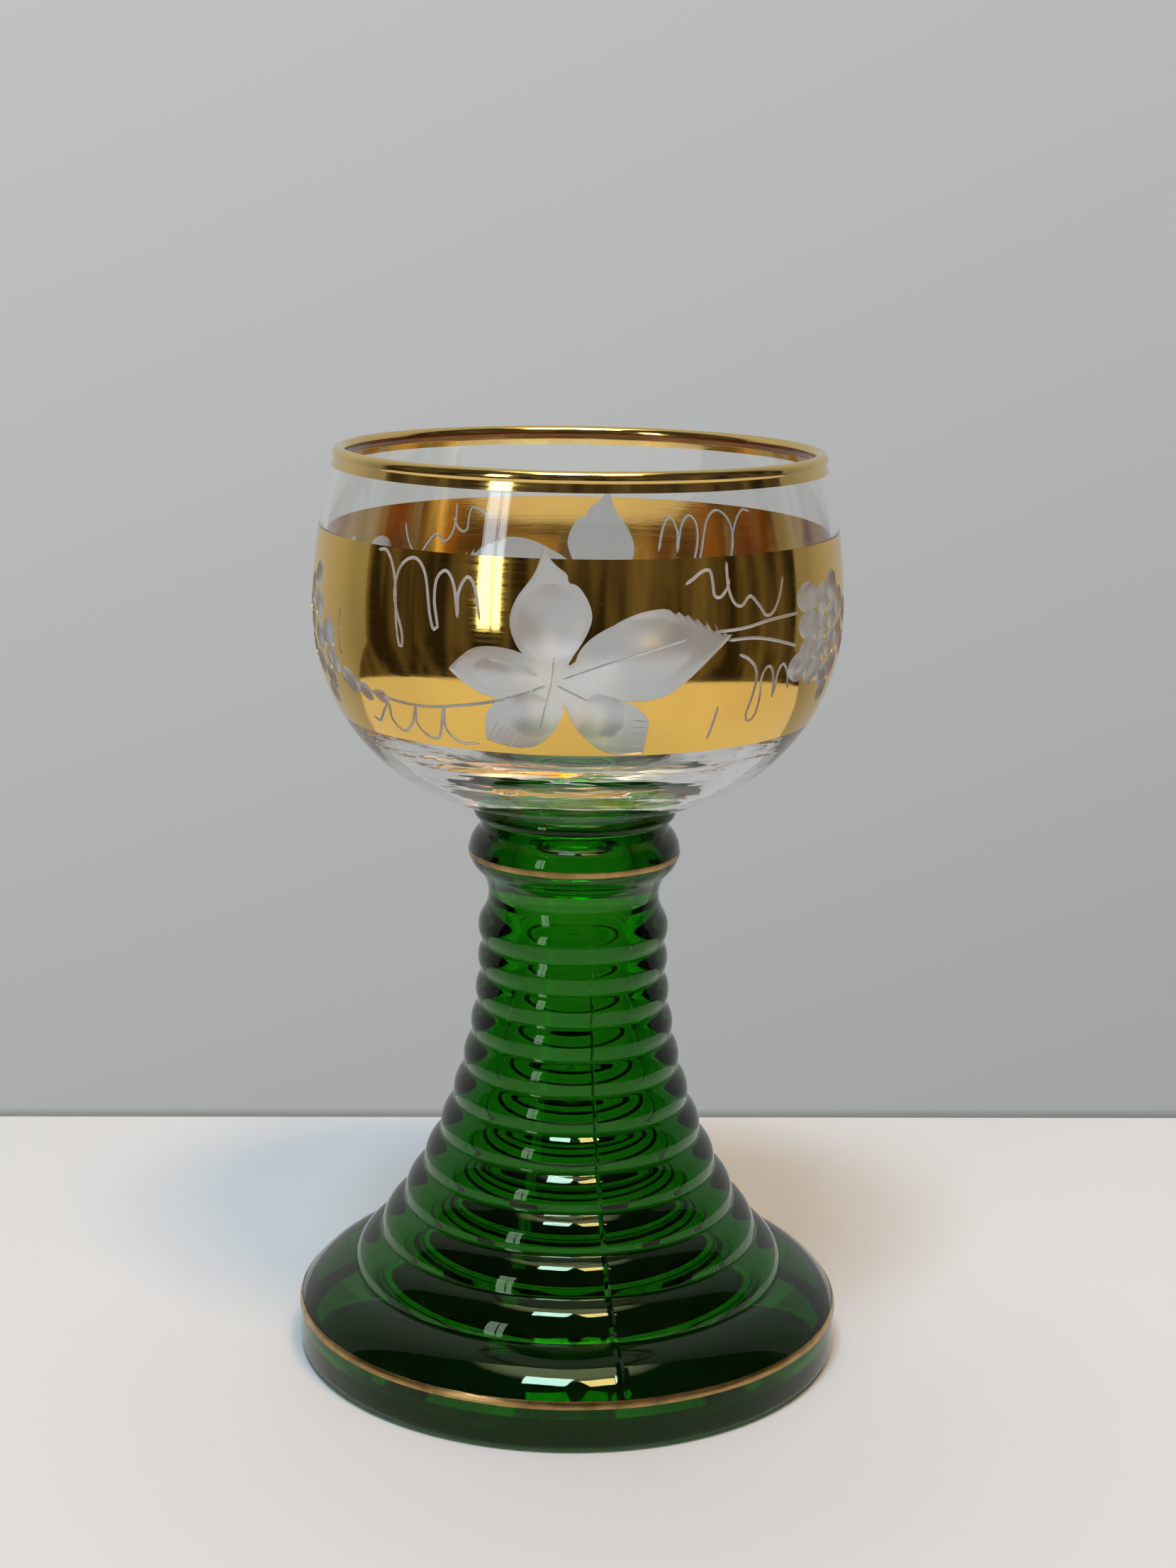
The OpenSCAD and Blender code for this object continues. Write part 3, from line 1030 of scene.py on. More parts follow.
    def scoop(self, x: float, y: float) -> float:
        """Depth of the leaf and grape cuts; below zero outside them.

        Args:
            x: place along the unrolled wall.
            y: height.

        Returns:
            The depth.
        """
        here = Vector((x, y))
        deepest = -1.0
        for core in self.cores:
            near = (x - core[0]) ** 2 + (y - core[1]) ** 2
            if near < self.core_near_squared:
                edge = self.core_edge * (1 - near / self.core_r ** 2)
                deepest = max(deepest, self.shallow * min(1.0, edge))
        for lobe, start, way, length in self.lobes:
            offset = here - start
            share = offset.dot(way) / length
            if not -self.lobe_margin < share < 1 + self.lobe_margin:
                continue
            across = offset.y * way.x - offset.x * way.y
            half = max(read_row(lobe.left if across > 0.0 else lobe.right, share), self.lobe_floor)
            deepest = max(deepest, self.shallow * min(1.0, self.lobe_edge * (1 - abs(across) / half)))
        for oval, centre, tilt in self.ovals:
            offset = here - centre
            if offset.length_squared < self.oval_near_squared:
                spot = tilt @ offset
                form = (spot.x / oval.half_w) ** 2 + (spot.y / oval.half_h) ** 2
                deepest = max(deepest, oval.depth * (1 - form))
        return deepest

    def depth(self, x: float, y: float) -> float:
        """Depth of the whole cut at a point of the unrolled wall."""
        away = self.tree.find((x, y, 0.0))[2] / (self.line_share * self.line_half)
        return max(0.0, self.scoop(x, y)) + self.line_depth * max(0.0, 1 - away)

    def slope(self, x: float, y: float) -> Point:
        """Slope of the scoops along both directions.

        Args:
            x: place along the unrolled wall.
            y: height.

        Returns:
            Slopes along x and y, within the limit.
        """
        step, limit = self.slope_step, self.slope_limit
        dx = self.scoop(x + step, y) - self.scoop(x - step, y)
        dy = self.scoop(x, y + step) - self.scoop(x, y - step)
        return max(-limit, min(limit, dx / (2 * step))), max(-limit, min(limit, dy / (2 * step)))


@dataclass
class WallPatch:
    """Triangles of the decorated zone of the wall, unrolled."""

    points: list[Point] = field(default_factory=list)
    triangles: list[tuple[int, ...]] = field(default_factory=list)
    skins: list[Skin] = field(default_factory=list)


@dataclass
class GiltBowl:
    """Clear bowl with its cut and gilt band and its gilt lip."""

    shape: BowlShape = field(default_factory=BowlShape)
    columns: int = 360
    seam_azimuth: float = 90.0
    seam_rows: int = 24
    seam_slack: float = 0.001
    pace: float = 0.5
    clearance: float = 0.24
    fill_low: float = 0.6
    fill_high: float = 0.5
    fill_inset: float = 0.75
    fill_shift: float = 0.5
    merge_reach: float = 0.00001
    zone_z0: float = 84.6
    zone_z1: float = 112.8
    band_z0: float = 86.6
    band_z1: float = 110.2
    film_sunk: float = 0.03
    film_proud: float = 0.05
    joint_sink: float = 0.02
    joint_inset: float = 0.05
    low_steps: int = 26
    high_steps: int = 10
    inner_low_steps: int = 40
    inner_high_steps: int = 34
    bead_foot: float = 0.7
    bead_turn: Point = (-40.0, 218.0)
    bead_steps: int = 26
    rim_z0: float = 117.6
    rim_foot: float = 0.72
    rim_turn: Point = (-38.0, 172.0)
    rim_steps: int = 24

    def build(self, former: TurnedForm) -> list[bpy.types.Object]:
        """Builds the bowl, the band and the lip.

        Args:
            former: tree that turns plain profiles.

        Returns:
            The three pieces.
        """
        self.cut = VineCut(self.shape)
        self.left = (self.seam_azimuth - 360.0) * self.cut.unit
        self.width = 360.0 * self.cut.unit
        self.patch = self._patch()
        return [self._bowl(), self._band(), self._rim(former)]

    def _borders(self) -> tuple[list[Point], list[tuple[int, int]]]:
        """Rows along the zone and the band, and both ends of the zone at the seam.

        Returns:
            Points, and the edges of the rows.
        """
        points: list[Point] = []
        edges: list[tuple[int, int]] = []
        for z in (self.zone_z0, self.band_z0, self.band_z1, self.zone_z1):
            first = len(points)
            points.extend((self.left + self.width * i / self.columns, z) for i in range(self.columns + 1))
            edges.extend((first + i, first + i + 1) for i in range(self.columns))
        for i in range(1, self.seam_rows):
            z = self.zone_z0 + (self.zone_z1 - self.zone_z0) * i / self.seam_rows
            points.extend(((self.left, z), (self.left + self.width, z)))
        return points, edges

    def _filling(self) -> list[Point]:
        """Points clear of the outlines, close in the cuts and wide on the plain wall.

        Returns:
            The points.
        """
        near = near_tree([corner for loop in self.cut.faces for corner in loop])
        points = []
        row = 0
        z = self.zone_z0 + self.fill_low
        while z < self.zone_z1 - self.fill_high:
            for i in range(int(self.width / self.pace) - 1):
                x = self.left + self.pace * (i + self.fill_inset + self.fill_shift * (row % 2))
                wide = row % 2 == 0 and i % 2 == 0
                if (wide or self.cut.scoop(x, z) > 0.0) and near.find((x, z, 0.0))[2] > self.clearance:
                    points.append((x, z))
            row += 1
            z += self.pace
        return points

    def _patch(self) -> WallPatch:
        """Triangulation of the decorated zone with the vine's outlines in it.

        Returns:
            The triangles with their skins.
        """
        points, edges = self._borders()
        points += self._filling()
        faces = []
        for loop in self.cut.faces:
            faces.append(list(range(len(points), len(points) + len(loop))))
            points.extend(loop)
        done = delaunay_2d_cdt([Vector(p) for p in points], edges, faces, 0, self.merge_reach, True)
        patch = WallPatch([(v.x, v.y) for v in done[0]])
        for triangle, sources in zip(done[2], done[5]):
            patch.triangles.append(tuple(triangle))
            if any(s >= self.cut.scooped for s in sources):
                patch.skins.append(Skin.ENGRAVED)
            else:
                patch.skins.append(Skin.SCOOPED if sources else Skin.BLOWN)
        return patch

    @staticmethod
    def _meshed(name: str, form: bmesh.types.BMesh, normals: list[Vector],
                finishes: Sequence[bpy.types.Material]) -> bpy.types.Object:
        """Piece made from a form, with its own normals.

        Args:
            name: name of the piece.
            form: welded form, which is freed.
            normals: one normal for each corner; zero leaves it to the faces.
            finishes: materials.

        Returns:
            The piece, linked to the scene.
        """
        mesh = bpy.data.meshes.new(name)
        form.to_mesh(mesh)
        form.free()
        mesh.normals_split_custom_set(normals)
        for finish in finishes:
            mesh.materials.append(finish)
        return placed(name, mesh)

    def _bowl(self) -> bpy.types.Object:
        """Clear bowl: the decorated zone, welded to the turned rest.

        Returns:
            The bowl, registered.
        """
        form = bmesh.new()
        skin = form.faces.layers.int.new("skin")
        across = form.verts.layers.float.new("across")
        height = form.verts.layers.float.new("height")
        corners = []
        for x, z in self.patch.points:
            vert = form.verts.new(self.shape.place(x / self.cut.unit, z, -self.cut.depth(x, z)))
            vert[across] = x
            vert[height] = z
            corners.append(vert)
        for triangle, kind in zip(self.patch.triangles, self.patch.skins):
            face = form.faces.new([corners[i] for i in triangle])
            face[skin] = kind.value
            face.material_index = 0 if kind is Skin.BLOWN else 1
        for path in self._plain_runs():
            self._revolve(form, path)
        bmesh.ops.remove_doubles(form, verts=form.verts, dist=WELD)
        for face in form.faces:
            face.smooth = face[skin] != Skin.ENGRAVED.value
        normals = self._bowl_normals(form, skin, across, height)
        piece = self._meshed("clear_bowl", form, normals, (ClearGlass().make(), MattCut().make()))
        return registered(piece, "bowl")

    def _plain_runs(self) -> list[list[Point]]:
        """Runs of the section below and above the decorated zone.

        Returns:
            Both runs, upwards on the outside.
        """
        shape = self.shape
        sunk = JOINT_Z - self.joint_sink
        below = [(r, sunk) for r in (*shape.floor_rows, JOINT_R - self.joint_inset)]
        below += shape.wall_run(JOINT_Z, self.zone_z0, self.low_steps)
        bead_z = shape.bead_c[1] - self.bead_foot * shape.bead_r
        above = shape.wall_run(self.zone_z1, bead_z, self.high_steps)
        above += shape.bead_path(*self.bead_turn, self.bead_steps)
        above += shape.inner_path(self.inner_low_steps, self.inner_high_steps)
        return [below, above]

    def _revolve(self, form: bmesh.types.BMesh, path: Sequence[Point]) -> None:
        """Turns a run of the section into rows of faces.

        Args:
            form: mesh that takes the faces.
            path: radius and height of the points, upwards on the outside.
        """
        rows = []
        for r, z in path:
            row = []
            for i in range(self.columns if r else 1):
                azimuth = self.seam_azimuth - 360.0 + 360.0 * i / self.columns
                row.append(form.verts.new((*bearing(azimuth, r * MM), z * MM)))
            rows.append(row)
        for lower, upper in zip(rows, rows[1:]):
            for i in range(self.columns):
                k = (i + 1) % self.columns
                loop = [row[at % len(row)] for row, at in ((lower, i), (lower, k), (upper, k), (upper, i))]
                form.faces.new(dict.fromkeys(loop))

    def _cut_facing(self, x: float, z: float) -> Vector:
        """Normal of a scooped cut.

        Args:
            x: place along the unrolled wall.
            z: height.

        Returns:
            Unit normal.
        """
        azimuth = x / self.cut.unit
        way = self.shape.facing(azimuth, z)
        dx, dz = self.cut.slope(x, z)
        angle = math.radians(azimuth)
        sideways = Vector((math.cos(angle), math.sin(angle), 0.0))
        upwards = sideways.cross(way) * -1.0
        return (way + sideways * dx + upwards * dz).normalized()

    def _bowl_normals(self, form: bmesh.types.BMesh, skin: object, across: object,
                      height: object) -> list[Vector]:
        """Normals of the corners, from the true wall and the true cuts.

        Args:
            form: welded mesh of the bowl.
            skin: face layer with the kind of skin.
            across: vertex layer with the unrolled place.
            height: vertex layer with the unrolled height.

        Returns:
            One normal for each corner; zero leaves it to the faces.
        """
        normals = []
        scooped: dict[int, Vector] = {}
        form.verts.index_update()
        for face in form.faces:
            kind = Skin(face[skin])
            for loop in face.loops:
                vert = loop.vert
                way = Vector((0.0, 0.0, 0.0))
                if kind is Skin.BLOWN:
                    way = self.shape.facing_at(vert.co)
                elif kind is Skin.SCOOPED:
                    if vert.index not in scooped:
                        scooped[vert.index] = self._cut_facing(vert[across], vert[height])
                    way = scooped[vert.index]
                normals.append(way)
        return normals

    def _loose_edges(self, triangles: Sequence[tuple[int, ...]]) -> list[tuple[int, int]]:
        """Edges that only one triangle has, apart from those at the seam.

        Args:
            triangles: triangles of the unrolled wall.

        Returns:
            The edges, in the direction of their triangles.
        """
        edges = [pair for triangle in triangles for pair in zip(triangle, triangle[1:] + triangle[:1])]
        both = set(edges)
        ends = (self.left, self.left + self.width)
        loose = []
        for edge in edges:
            places = [self.patch.points[i][0] for i in edge]
            at_seam = any(all(abs(x - end) < self.seam_slack for x in places) for end in ends)
            if edge[::-1] not in both and not at_seam:
                loose.append(edge)
        return loose

    def _band(self) -> bpy.types.Object:
        """Gold film on the uncut triangles of the band.

        Returns:
            The band, registered.
        """
        form = bmesh.new()
        kept = []
        for triangle, kind in zip(self.patch.triangles, self.patch.skins):
            middle = sum(self.patch.points[i][1] for i in triangle) / 3
            if kind is Skin.BLOWN and self.band_z0 < middle < self.band_z1:
                kept.append(triangle)
        outer: dict[int, bmesh.types.BMVert] = {}
        inner: dict[int, bmesh.types.BMVert] = {}
        for i in sorted({i for triangle in kept for i in triangle}):
            x, z = self.patch.points[i]
            outer[i] = form.verts.new(self.shape.place(x / self.cut.unit, z, self.film_proud))
            inner[i] = form.verts.new(self.shape.place(x / self.cut.unit, z, -self.film_sunk))
        for triangle in kept:
            form.faces.new([outer[i] for i in triangle]).smooth = True
            form.faces.new([inner[i] for i in reversed(triangle)]).smooth = True
        for a, b in self._loose_edges(kept):
            form.faces.new((outer[b], outer[a], inner[a], inner[b]))
        bmesh.ops.remove_doubles(form, verts=form.verts, dist=WELD)
        normals = []
        for face in form.faces:
            for loop in face.loops:
                way = self.shape.facing_at(loop.vert.co) if face.smooth else Vector((0.0, 0.0, 0.0))
                normals.append(-way if way.dot(face.normal) < 0.0 else way)
        piece = self._meshed("band_gilding", form, normals, (BAND_GOLD.make(),))
        return registered(piece, "gilt_band")

    def _rim(self, former: TurnedForm) -> bpy.types.Object:
        """Gold film over the bead and a little way down the outside.

        Args:
            former: tree that turns plain profiles.

        Returns:
            The lip's gold, registered.
        """
        shape = self.shape
        stop = shape.bead_c[1] - self.rim_foot * shape.bead_r
        path = [(shape.radius(z), z) for z in (self.rim_z0, (self.rim_z0 + stop) / 2, stop)]
        path += shape.bead_path(*self.rim_turn, self.rim_steps)
        section = film_section(path, self.film_sunk, self.film_proud)
        piece = former.turn("rim_gilding", section, LIP_GOLD.make(), self.columns)
        return registered(piece, "gilt_rim")


@dataclass
class RibbedFoot:
    """Green pressed foot: collar, ribbed flaring stem and flange, hollow below."""

    foot_r: float = 36.0
    lip_round: float = 1.05
    lip_steps: int = 12
    groove_r: float = 12.3
    collar_r: float = 13.75
    collar_round: float = 3.6
    collar_drop: float = 6.2
    collar_steps: int = 18
    neck_round: float = 4.5
    neck_steps: int = 9
    rib_drop: float = 14.7
    waist_drop: float = 18.9
    waist_r: float = 11.8
    rib_count: int = 11
    rib_growth: float = 1.037
    rib_bulge: float = 0.15
    rib_steps: int = 8
    top_rib_steps: int = 7
    groove_top: float = 1.05
    groove_low: float = 0.55
    groove_steps: int = 4
    flange_r: float = 28.7
    flange_z: float = 11.3
    flange_bulge: float = 0.9
    flange_steps: int = 14
    shoulder_z: float = 6.0
    shoulder_round: float = 1.7
    shoulder_angle: float = 35.0
    shoulder_steps: int = 6
    side_z: float = 3.5
    base_round: float = 1.5
    base_ring: float = 3.3
    base_steps: int = 6
    stem_wall: float = 4.0
    stem_head: float = 3.0
    hollow_round: float = 4.5
    hollow_flat: float = 1.6
    hollow_steps: int = 8
    bore_rise: float = 3.0
    bore_steps: int = 26
    mouth_z: float = 1.0
    joint_rows: tuple[float, ...] = (9.0, 4.5, 0.0)
    seam_azimuth: float = 12.0
    seam_height: float = 0.36
    seam_top: float = 58.0
    seam_fade: float = 12.0
    seam_foot: float = 1.0
    columns: int = 400
    collar_line: Point = (67.275, 68.025)
    foot_line: Point = (6.0, 6.95)
    line_steps: int = 8
    line_columns: int = 720
    line_waver: float = 0.16
    film_sunk: float = 0.03
    film_proud: float = 0.06

    def __post_init__(self) -> None:
        """Centres and radii of the section's arcs."""
        self.lip_c = (JOINT_R, JOINT_Z - self.lip_round)
        self.collar_c = (self.collar_r - self.collar_round, JOINT_Z - self.collar_drop)
        self.waist_z = JOINT_Z - self.waist_drop
        self.flare_arc = upright_arc(self.flange_r - self.waist_r, self.waist_z - self.flange_z)
        self.flare_c = (self.waist_r + self.flare_arc, self.waist_z)
        self.shoulder_c = (self.foot_r - self.shoulder_round, self.shoulder_z)
        self._grooves()
        self.neck_c = touching_centre(*self.ribs[0], self.collar_c, self.collar_round, self.neck_round)

    def _grooves(self) -> None:
        """Grooves along the flare and the round ribs between them."""
        top = -math.asin((JOINT_Z - self.rib_drop - self.waist_z) / self.flare_arc)
        end = math.asin((self.waist_z - self.flange_z) / self.flare_arc)
        full = self.rib_growth ** self.rib_count - 1
        self.grooves = []
        for k in range(self.rib_count + 1):
            a = top + (end - top) * (self.rib_growth ** k - 1) / full
            self.grooves.append((self.flare_c[0] - self.flare_arc * math.cos(a),
                                 self.flare_c[1] - self.flare_arc * math.sin(a)))
        self.ribs = []
        for upper, lower in zip(self.grooves, self.grooves[1:]):
            self.ribs.append(bulge_centre(upper, lower, self.rib_bulge * math.dist(upper, lower)))

    def _hollow(self) -> list[Point]:
        """Surface of the hollow.

        Returns:
            Points from its top down to the base ring.
        """
        hollow_r = self.waist_r - self.stem_wall
        top_z = JOINT_Z - self.stem_head
        corner = (hollow_r - self.hollow_round, top_z - self.hollow_round)
        reach = self.flare_arc + self.stem_wall
        mouth_r = self.foot_r - self.base_round - self.base_ring
        last = math.acos((self.flare_c[0] - mouth_r) / reach)
        path = [(0.0, top_z), (self.hollow_flat, top_z)]
        path += arc(corner, self.hollow_round, math.pi / 2, 0.0, self.hollow_steps)
        path += [(hollow_r, self.waist_z + self.bore_rise)]
        path += arc(self.flare_c, reach, math.pi, math.pi + last, self.bore_steps)
        path += [(mouth_r, self.mouth_z), (mouth_r, 0.0)]
        return path

    def _outside(self) -> list[Point]:
        """Outside of the foot.

        Returns:
            Points from the base ring up to the joint.
        """
        base_c = (self.foot_r - self.base_round, self.base_round)
        path = arc(base_c, self.base_round, -math.pi / 2, 0.0, self.base_steps)
        path += [(self.foot_r, self.side_z)]
        turned = math.radians(self.shoulder_angle)
        path += arc(self.shoulder_c, self.shoulder_round, 0.0, turned, self.shoulder_steps)
        edge, groove = path[-1], self.grooves[-1]
        centre, radius = bulge_centre(groove, edge, self.flange_bulge)
        path += arc(centre, radius, angle_to(centre, edge), angle_to(centre, groove), self.flange_steps)[1:]
        low = angle_to(self.ribs[-1][0], groove)
        for k in range(self.rib_count - 1, 0, -1):
            rib, above = self.ribs[k], self.ribs[k - 1]
            fillet = self.groove_top + (self.groove_low - self.groove_top) * k / self.rib_count
            groove = touching_centre(*rib, *above, fillet)
            path += arc(*rib, low, angle_to(rib[0], groove), self.rib_steps)[1:]
            start, end = angle_to(groove, rib[0]) % math.tau, angle_to(groove, above[0]) % math.tau
            path += arc(groove, fillet, start, end, self.groove_steps)[1:]
            low = angle_to(above[0], groove)
        return path + self._neck_and_collar(low)

    def _neck_and_collar(self, start: float) -> list[Point]:
        """Outside of the uppermost rib, the neck, the collar and the lip.

        Args:
            start: angle at which the rib starts.

        Returns:
            Points up to the joint with the bowl.
        """
        centre, radius = self.ribs[0]
        path = arc(centre, radius, start, angle_to(centre, self.neck_c), self.top_rib_steps)[1:]
        low = angle_to(self.neck_c, centre) % math.tau
        high = angle_to(self.neck_c, self.collar_c) % math.tau
        path += arc(self.neck_c, self.neck_round, low, high, self.neck_steps)[1:]
        low = angle_to(self.collar_c, self.neck_c)
        high = math.acos((self.groove_r - self.collar_c[0]) / self.collar_round)
        path += arc(self.collar_c, self.collar_round, low, high, self.collar_steps)[1:]
        low = -math.acos((self.groove_r - self.lip_c[0]) / self.lip_round)
        path += arc(self.lip_c, self.lip_round, low, math.pi / 2, self.lip_steps)
        return path

    def build(self, former: TurnedForm) -> list[bpy.types.Object]:
        """Builds the foot and its two gold lines.

        Args:
            former: tree that turns plain profiles.

        Returns:
            The three pieces.
        """
        hollow, outside = self._hollow(), self._outside()
        joint = [(r, JOINT_Z) for r in self.joint_rows]
        lift = [(0.0, 0.0)] * len(hollow)
        for (_, z), (out_r, out_z) in zip(outside, path_normals(outside)):
            share = max(0.0, min(1.0, (self.seam_top - z) / self.seam_fade))
            if z < self.shoulder_z + self.seam_foot:
                share = 0.0
            lift.append((out_r * share, out_z * share))
        lift += [(0.0, 0.0)] * len(joint)
        foot = former.turn("ribbed_foot_glass", hollow + outside + joint, GreenGlass().make(), self.columns,
                           math.radians(self.seam_azimuth - 90.0), lift, self.seam_height)
        gold = LINE_GOLD.make()
        collar = self._line(former, "collar_gold_line", self.collar_c, self.collar_round,
                            self.collar_line, gold)
        edge = self._line(former, "foot_gold_line", self.shoulder_c, self.shoulder_round,
                          self.foot_line, gold)
        return [registered(foot, "ribbed_foot"),
                registered(collar, "collar_line"),
                registered(edge, "foot_line")]

    def _line(self, former: TurnedForm, name: str, centre: Point, radius: float, heights: Point,
              finish: bpy.types.Material) -> bpy.types.Object:
        """Painted gold line on a round of the section.

        Args:
            former: tree that turns plain profiles.
            name: name of the piece.
            centre: centre of the round.
            radius: radius of the round.
            heights: lower and upper edge of the line.
            finish: gold of the line.

        Returns:
            The line.
        """
        start, end = (math.asin((z - centre[1]) / radius) for z in heights)
        run = arc(centre, radius, start, end, self.line_steps)
        section = film_section(run, self.film_sunk, self.film_proud)
        return former.turn(name, section, finish, self.line_columns, waver=self.line_waver)


# Studio


@dataclass(frozen=True)
class Lamp:
    """Rectangular lamp: its place, the point it faces, its width and height, its watts and its colour."""

    name: str
    place: Place
    target: Place
    size: Point
    power: float
    colour: Colour

    def hang(self) -> None:
        """Puts the lamp in the scene."""
        data = bpy.data.lights.new(self.name, "AREA")
        data.shape = "RECTANGLE"
        data.size, data.size_y = self.size
        data.energy = self.power
        data.color = self.colour
        lamp = placed(self.name, data)
        lamp.location = self.place
        lamp.rotation_euler = (Vector(self.target) - Vector(self.place)).to_track_quat("-Z", "Y").to_euler()


# Tall window of two panes to the left of the camera, and two lamps overhead
LAMPS: tuple[Lamp, ...] = (
    Lamp("wide_pane", (-1.26, -1.55, 0.5), (0.0, 0.0, 0.12), (0.2, 1.2), 4.2, (0.85, 0.95, 1.0)),
    Lamp("slim_pane", (-1.11, -1.66, 0.5), (0.0, 0.0, 0.12), (0.12, 1.2), 2.5, (0.85, 0.95, 1.0)),
    Lamp("cool_lamp", (-0.12, -0.46, 1.19), (0.0, 0.0, 0.04), (0.3, 0.24), 9.0, (0.62, 0.78, 1.0)),
    Lamp("warm_lamp", (0.25, -0.46, 1.165), (0.0, 0.0, 0.04), (0.28, 0.2), 6.2, (1.0, 0.64, 0.33)),
)


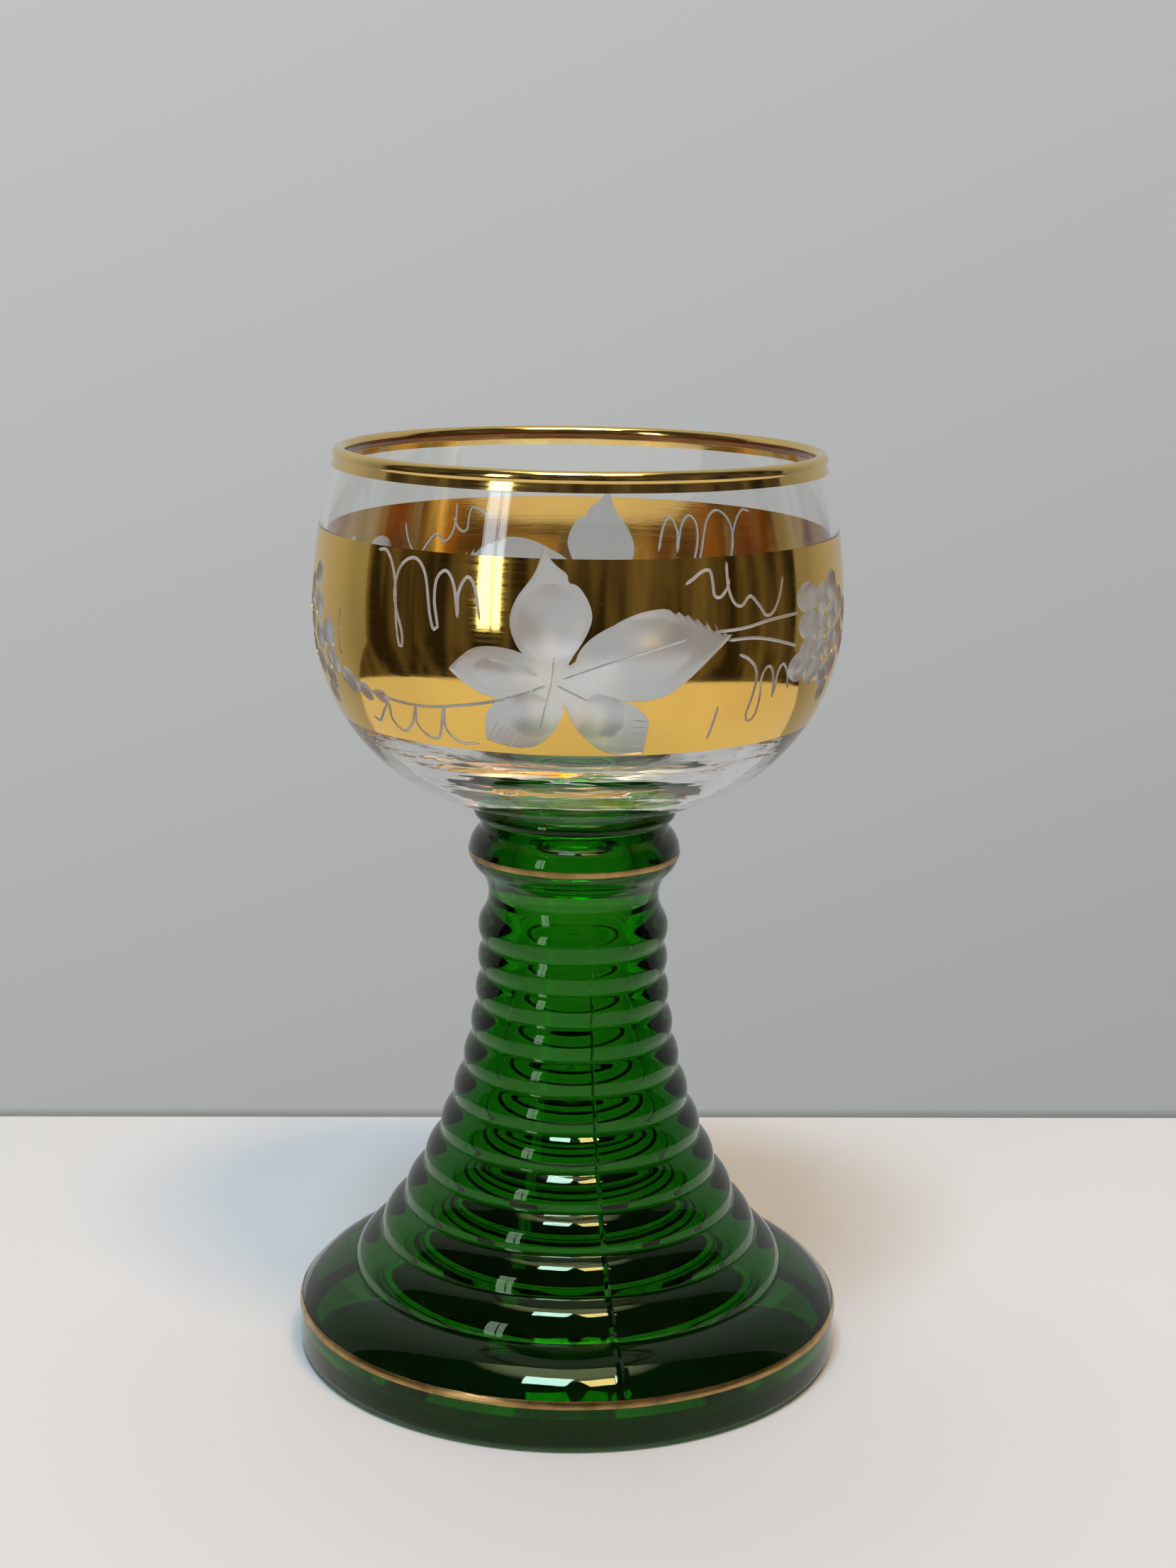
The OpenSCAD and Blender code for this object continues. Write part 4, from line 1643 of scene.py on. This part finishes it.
@dataclass
class Studio:
    """Pale floor with painted shadows, backdrop with painted light and shade, soft light and the camera."""

    camera_place: Place = (0.0016458, -0.3315155, 0.1507468)
    camera_pitch: float = 12.634
    camera_roll: float = 0.945
    lens: float = 60.08
    sensor: float = 36.0
    nearest: float = 0.01
    floor_colour: Colour = (0.79, 0.785, 0.76)
    floor_rough: float = 0.9
    floor_gloss: float = 0.1
    floor_half: float = 6.0
    # Painted shadow: the floor darkens to front_shade around front_place, just in front of the foot, and is
    # plain pale beyond front_reach.
    front_shade: Colour = (0.66, 0.655, 0.635)
    front_place: Place = (0.008, -0.04, 0.0)
    front_reach: float = 0.09
    # Painted shade: the floor is near black in a disc under the foot, out to shade_range from the axis, where
    # only the glass shows it.
    painted_shade_under_foot: Colour = (0.06, 0.06, 0.06)
    shade_range: Point = (0.0335, 0.0355)
    table_reach: float = 0.23
    # Painted light on the backdrop: its glow is brighter upwards, from backdrop_low at the floor to
    # backdrop_high at backdrop_rise.
    backdrop_low: Colour = (0.395, 0.405, 0.4)
    backdrop_high: Colour = (0.54, 0.553, 0.55)
    backdrop_rise: float = 0.2
    backdrop_y: float = 0.085
    backdrop_turn: float = 0.044
    backdrop_seen: float = 0.47
    backdrop_half: float = 4.0
    backdrop_top: float = 2.5
    # Painted shade: the backdrop's glow is dimmed to foot_line in a thin line along its foot, as a dark
    # crease at the floor.
    foot_line: float = 0.62
    painted_crease_range: Point = (0.0004, 0.0016)
    # Painted shade on the backdrop: its glow falls off from left to right between the side_levels.
    side_levels: Point = (1.02, 0.9)
    side_range: Point = (-0.1, 0.1)
    # Painted shade in reflections: gloss rays see the backdrop's sides dimmed by up to wing_shade.
    wing_shade: float = 0.34
    wing_range: Point = (0.1, 0.27)
    ambient: Colour = (0.26, 0.28, 0.27)
    room: Grain = Grain(1.0, 3.0, (7.0, 7.0, 1.1))
    room_range: Point = (0.42, 0.72)
    room_dark: Colour = (0.022, 0.018, 0.014)
    room_light: Colour = (0.17, 0.145, 0.11)
    ceiling: Colour = (0.06, 0.055, 0.05)
    ceiling_range: Point = (0.5, 0.75)
    zenith: Colour = (3.8, 3.5, 2.6)
    zenith_range: Point = (0.93, 0.97)
    glass_bounces: int = 40

    def build(self) -> None:
        """Builds the whole studio."""
        self._floor()
        self._backdrop()
        self._world()
        for lamp in LAMPS:
            lamp.hang()
        self._camera()
        bpy.context.scene.view_settings.view_transform = "Standard"
        cycles = bpy.context.scene.cycles
        cycles.max_bounces = cycles.transmission_bounces = cycles.glossy_bounces = self.glass_bounces

    @staticmethod
    def _sheet(name: str, corners: Sequence[Place], material: bpy.types.Material) -> bpy.types.Object:
        """Flat stage piece.

        Args:
            name: name of the piece.
            corners: its four corners.
            material: its material.

        Returns:
            The piece.
        """
        mesh = bpy.data.meshes.new(name)
        mesh.from_pydata(corners, [], [(0, 1, 2, 3)])
        mesh.materials.append(material)
        sheet = placed(name, mesh)
        return sheet

    @staticmethod
    def _cleared(brush: Brush, surface: Socket, where: Socket) -> None:
        """Lets rays through a stage material.

        Args:
            brush: wiring of the material.
            surface: its shader.
            where: factor that is one where rays go through.
        """
        through = brush.node("ShaderNodeBsdfTransparent").outputs["BSDF"]
        mix = brush.node("ShaderNodeMixShader", {"Fac": where, 1: surface, 2: through})
        brush.feed(brush.output.inputs["Surface"], mix.outputs["Shader"])

    def _floor(self) -> None:
        """Wide pale floor with painted shade: near black under the foot and darker just in front of it; gloss
        sees it only as far as a table's edge.
        """
        brush = Brush("pale_floor")
        brush.set(Roughness=self.floor_rough, Specular_IOR_Level=self.floor_gloss)
        gloss = brush.node("ShaderNodeLightPath").outputs["Is Glossy Ray"]
        away = brush.node("ShaderNodeVectorMath", {0: brush.coords}, operation="LENGTH").outputs["Value"]
        # Painted shadow on the floor in front of the foot.
        spots = {0: brush.coords, 1: self.front_place}
        front = brush.node("ShaderNodeVectorMath", spots, operation="DISTANCE").outputs["Value"]
        open_floor = brush.spread(front, 0.0, 1.0, 0.0, self.front_reach)
        pale = brush.blend(open_floor, self.front_shade, self.floor_colour)
        # Painted shade: near-black disc of floor under the foot.
        outside = brush.spread(away, 0.0, 1.0, *self.shade_range)
        brush.set(Base_Color=brush.blend(outside, self.painted_shade_under_foot, pale))
        beyond = brush.math("GREATER_THAN", away, self.table_reach)
        self._cleared(brush, brush.shader.outputs["BSDF"], brush.product(beyond, gloss))
        half = self.floor_half
        self._sheet("floor", [(-half, -half, 0), (half, -half, 0), (half, half, 0), (-half, half, 0)],
                    brush.material)

    def _backdrop(self) -> None:
        """Upright glowing backdrop behind the glass, seen from its front only, with painted light and shade:
        brighter upwards and to the left, a dark line along its foot and darker sides in reflections.
        """
        brush = Brush("plain_backdrop")
        gloss = brush.node("ShaderNodeLightPath").outputs["Is Glossy Ray"]
        across, up = brush.part("X"), brush.part("Z")
        aside = brush.math("ABSOLUTE", across)
        # Painted light: the backdrop glows brighter upwards.
        rise = brush.spread(up, 0.0, 1.0, 0.0, self.backdrop_rise)
        # Painted shade: dark crease along the backdrop's foot.
        line = brush.spread(up, self.foot_line, 1.0, *self.painted_crease_range)
        # Painted shade: the backdrop glows darker to the right.
        fall = brush.spread(across, *self.side_levels, *self.side_range)
        # Painted shade in reflections: darker backdrop sides for gloss rays.
        wing = brush.product(brush.spread(aside, 0.0, self.wing_shade, *self.wing_range), gloss)
        fall = brush.product(fall, brush.math("SUBTRACT", 1.0, wing))
        colour = brush.blend(rise, self.backdrop_low, self.backdrop_high)
        glow = brush.node("ShaderNodeEmission", {"Color": colour, "Strength": brush.product(line, fall)})
        beyond = brush.product(brush.math("GREATER_THAN", aside, self.backdrop_seen), gloss)
        behind = brush.node("ShaderNodeNewGeometry").outputs["Backfacing"]
        self._cleared(brush, glow.outputs["Emission"], brush.math("MAXIMUM", beyond, behind))
        half, top = self.backdrop_half, self.backdrop_top
        left, right = (self.backdrop_y + self.backdrop_turn * x for x in (-half, half))
        corners = [(-half, left, 0), (half, right, 0), (half, right, top), (-half, left, top)]
        sheet = self._sheet("backdrop", corners, brush.material)
        sheet.visible_diffuse = False
        sheet.visible_shadow = False

    def _world(self) -> None:
        """Soft light all round, a plain backdrop for what is seen and a dark room for gloss.

        The light that reaches the floor through the glass also comes from the dark room.
        """
        world = bpy.data.worlds.new("studio")
        bpy.context.scene.world = world
        world.use_nodes = True
        sky = Wiring(world.node_tree, "Generated")
        light = sky.node("ShaderNodeLightPath").outputs
        room = sky.node("ShaderNodeValToRGB", {"Fac": sky.noise(self.room)})
        stops = zip(room.color_ramp.elements, self.room_range, (self.room_dark, self.room_light))
        for stop, position, colour in stops:
            stop.position = position
            stop.color = (*colour, 1.0)
        up = sky.part("Z")
        high, top = (sky.spread(up, 0.0, 1.0, *levels) for levels in (self.ceiling_range, self.zenith_range))
        ceiling = sky.blend(high, room.outputs["Color"], self.ceiling)
        ceiling = sky.blend(top, ceiling, self.zenith)
        below = sky.math("GREATER_THAN", light["Diffuse Depth"], 0.5)
        gloss = sky.math("MAXIMUM", below, light["Is Glossy Ray"])
        shown = sky.blend(gloss, self.backdrop_high, ceiling)
        lit = sky.blend(light["Is Diffuse Ray"], shown, self.ambient)
        sky.feed(sky.tree.nodes["Background"].inputs["Color"], lit)

    def _camera(self) -> None:
        """Camera at the photograph's angle."""
        data = bpy.data.cameras.new("camera")
        data.lens = self.lens
        data.sensor_width = self.sensor
        data.clip_start = self.nearest
        camera = placed("camera", data)
        tilt = Matrix.Rotation(math.radians(90.0 - self.camera_pitch), 4, "X")
        roll = Matrix.Rotation(math.radians(self.camera_roll), 4, "Z")
        camera.matrix_world = Matrix.Translation(self.camera_place) @ tilt @ roll
        bpy.context.scene.camera = camera


def main() -> None:
    """Builds the studio and the glass and reports each piece."""
    logging.basicConfig(level=logging.INFO, format="%(name)s %(message)s")
    Studio().build()
    former = TurnedForm()
    pieces = GiltBowl().build(former) + RibbedFoot().build(former)
    for piece in pieces:
        faces = sum(len(face.vertices) - 2 for face in piece.data.polygons)
        LOG.info("%s: %d triangles", piece.name, faces)


if __name__ == "__main__":
    main()
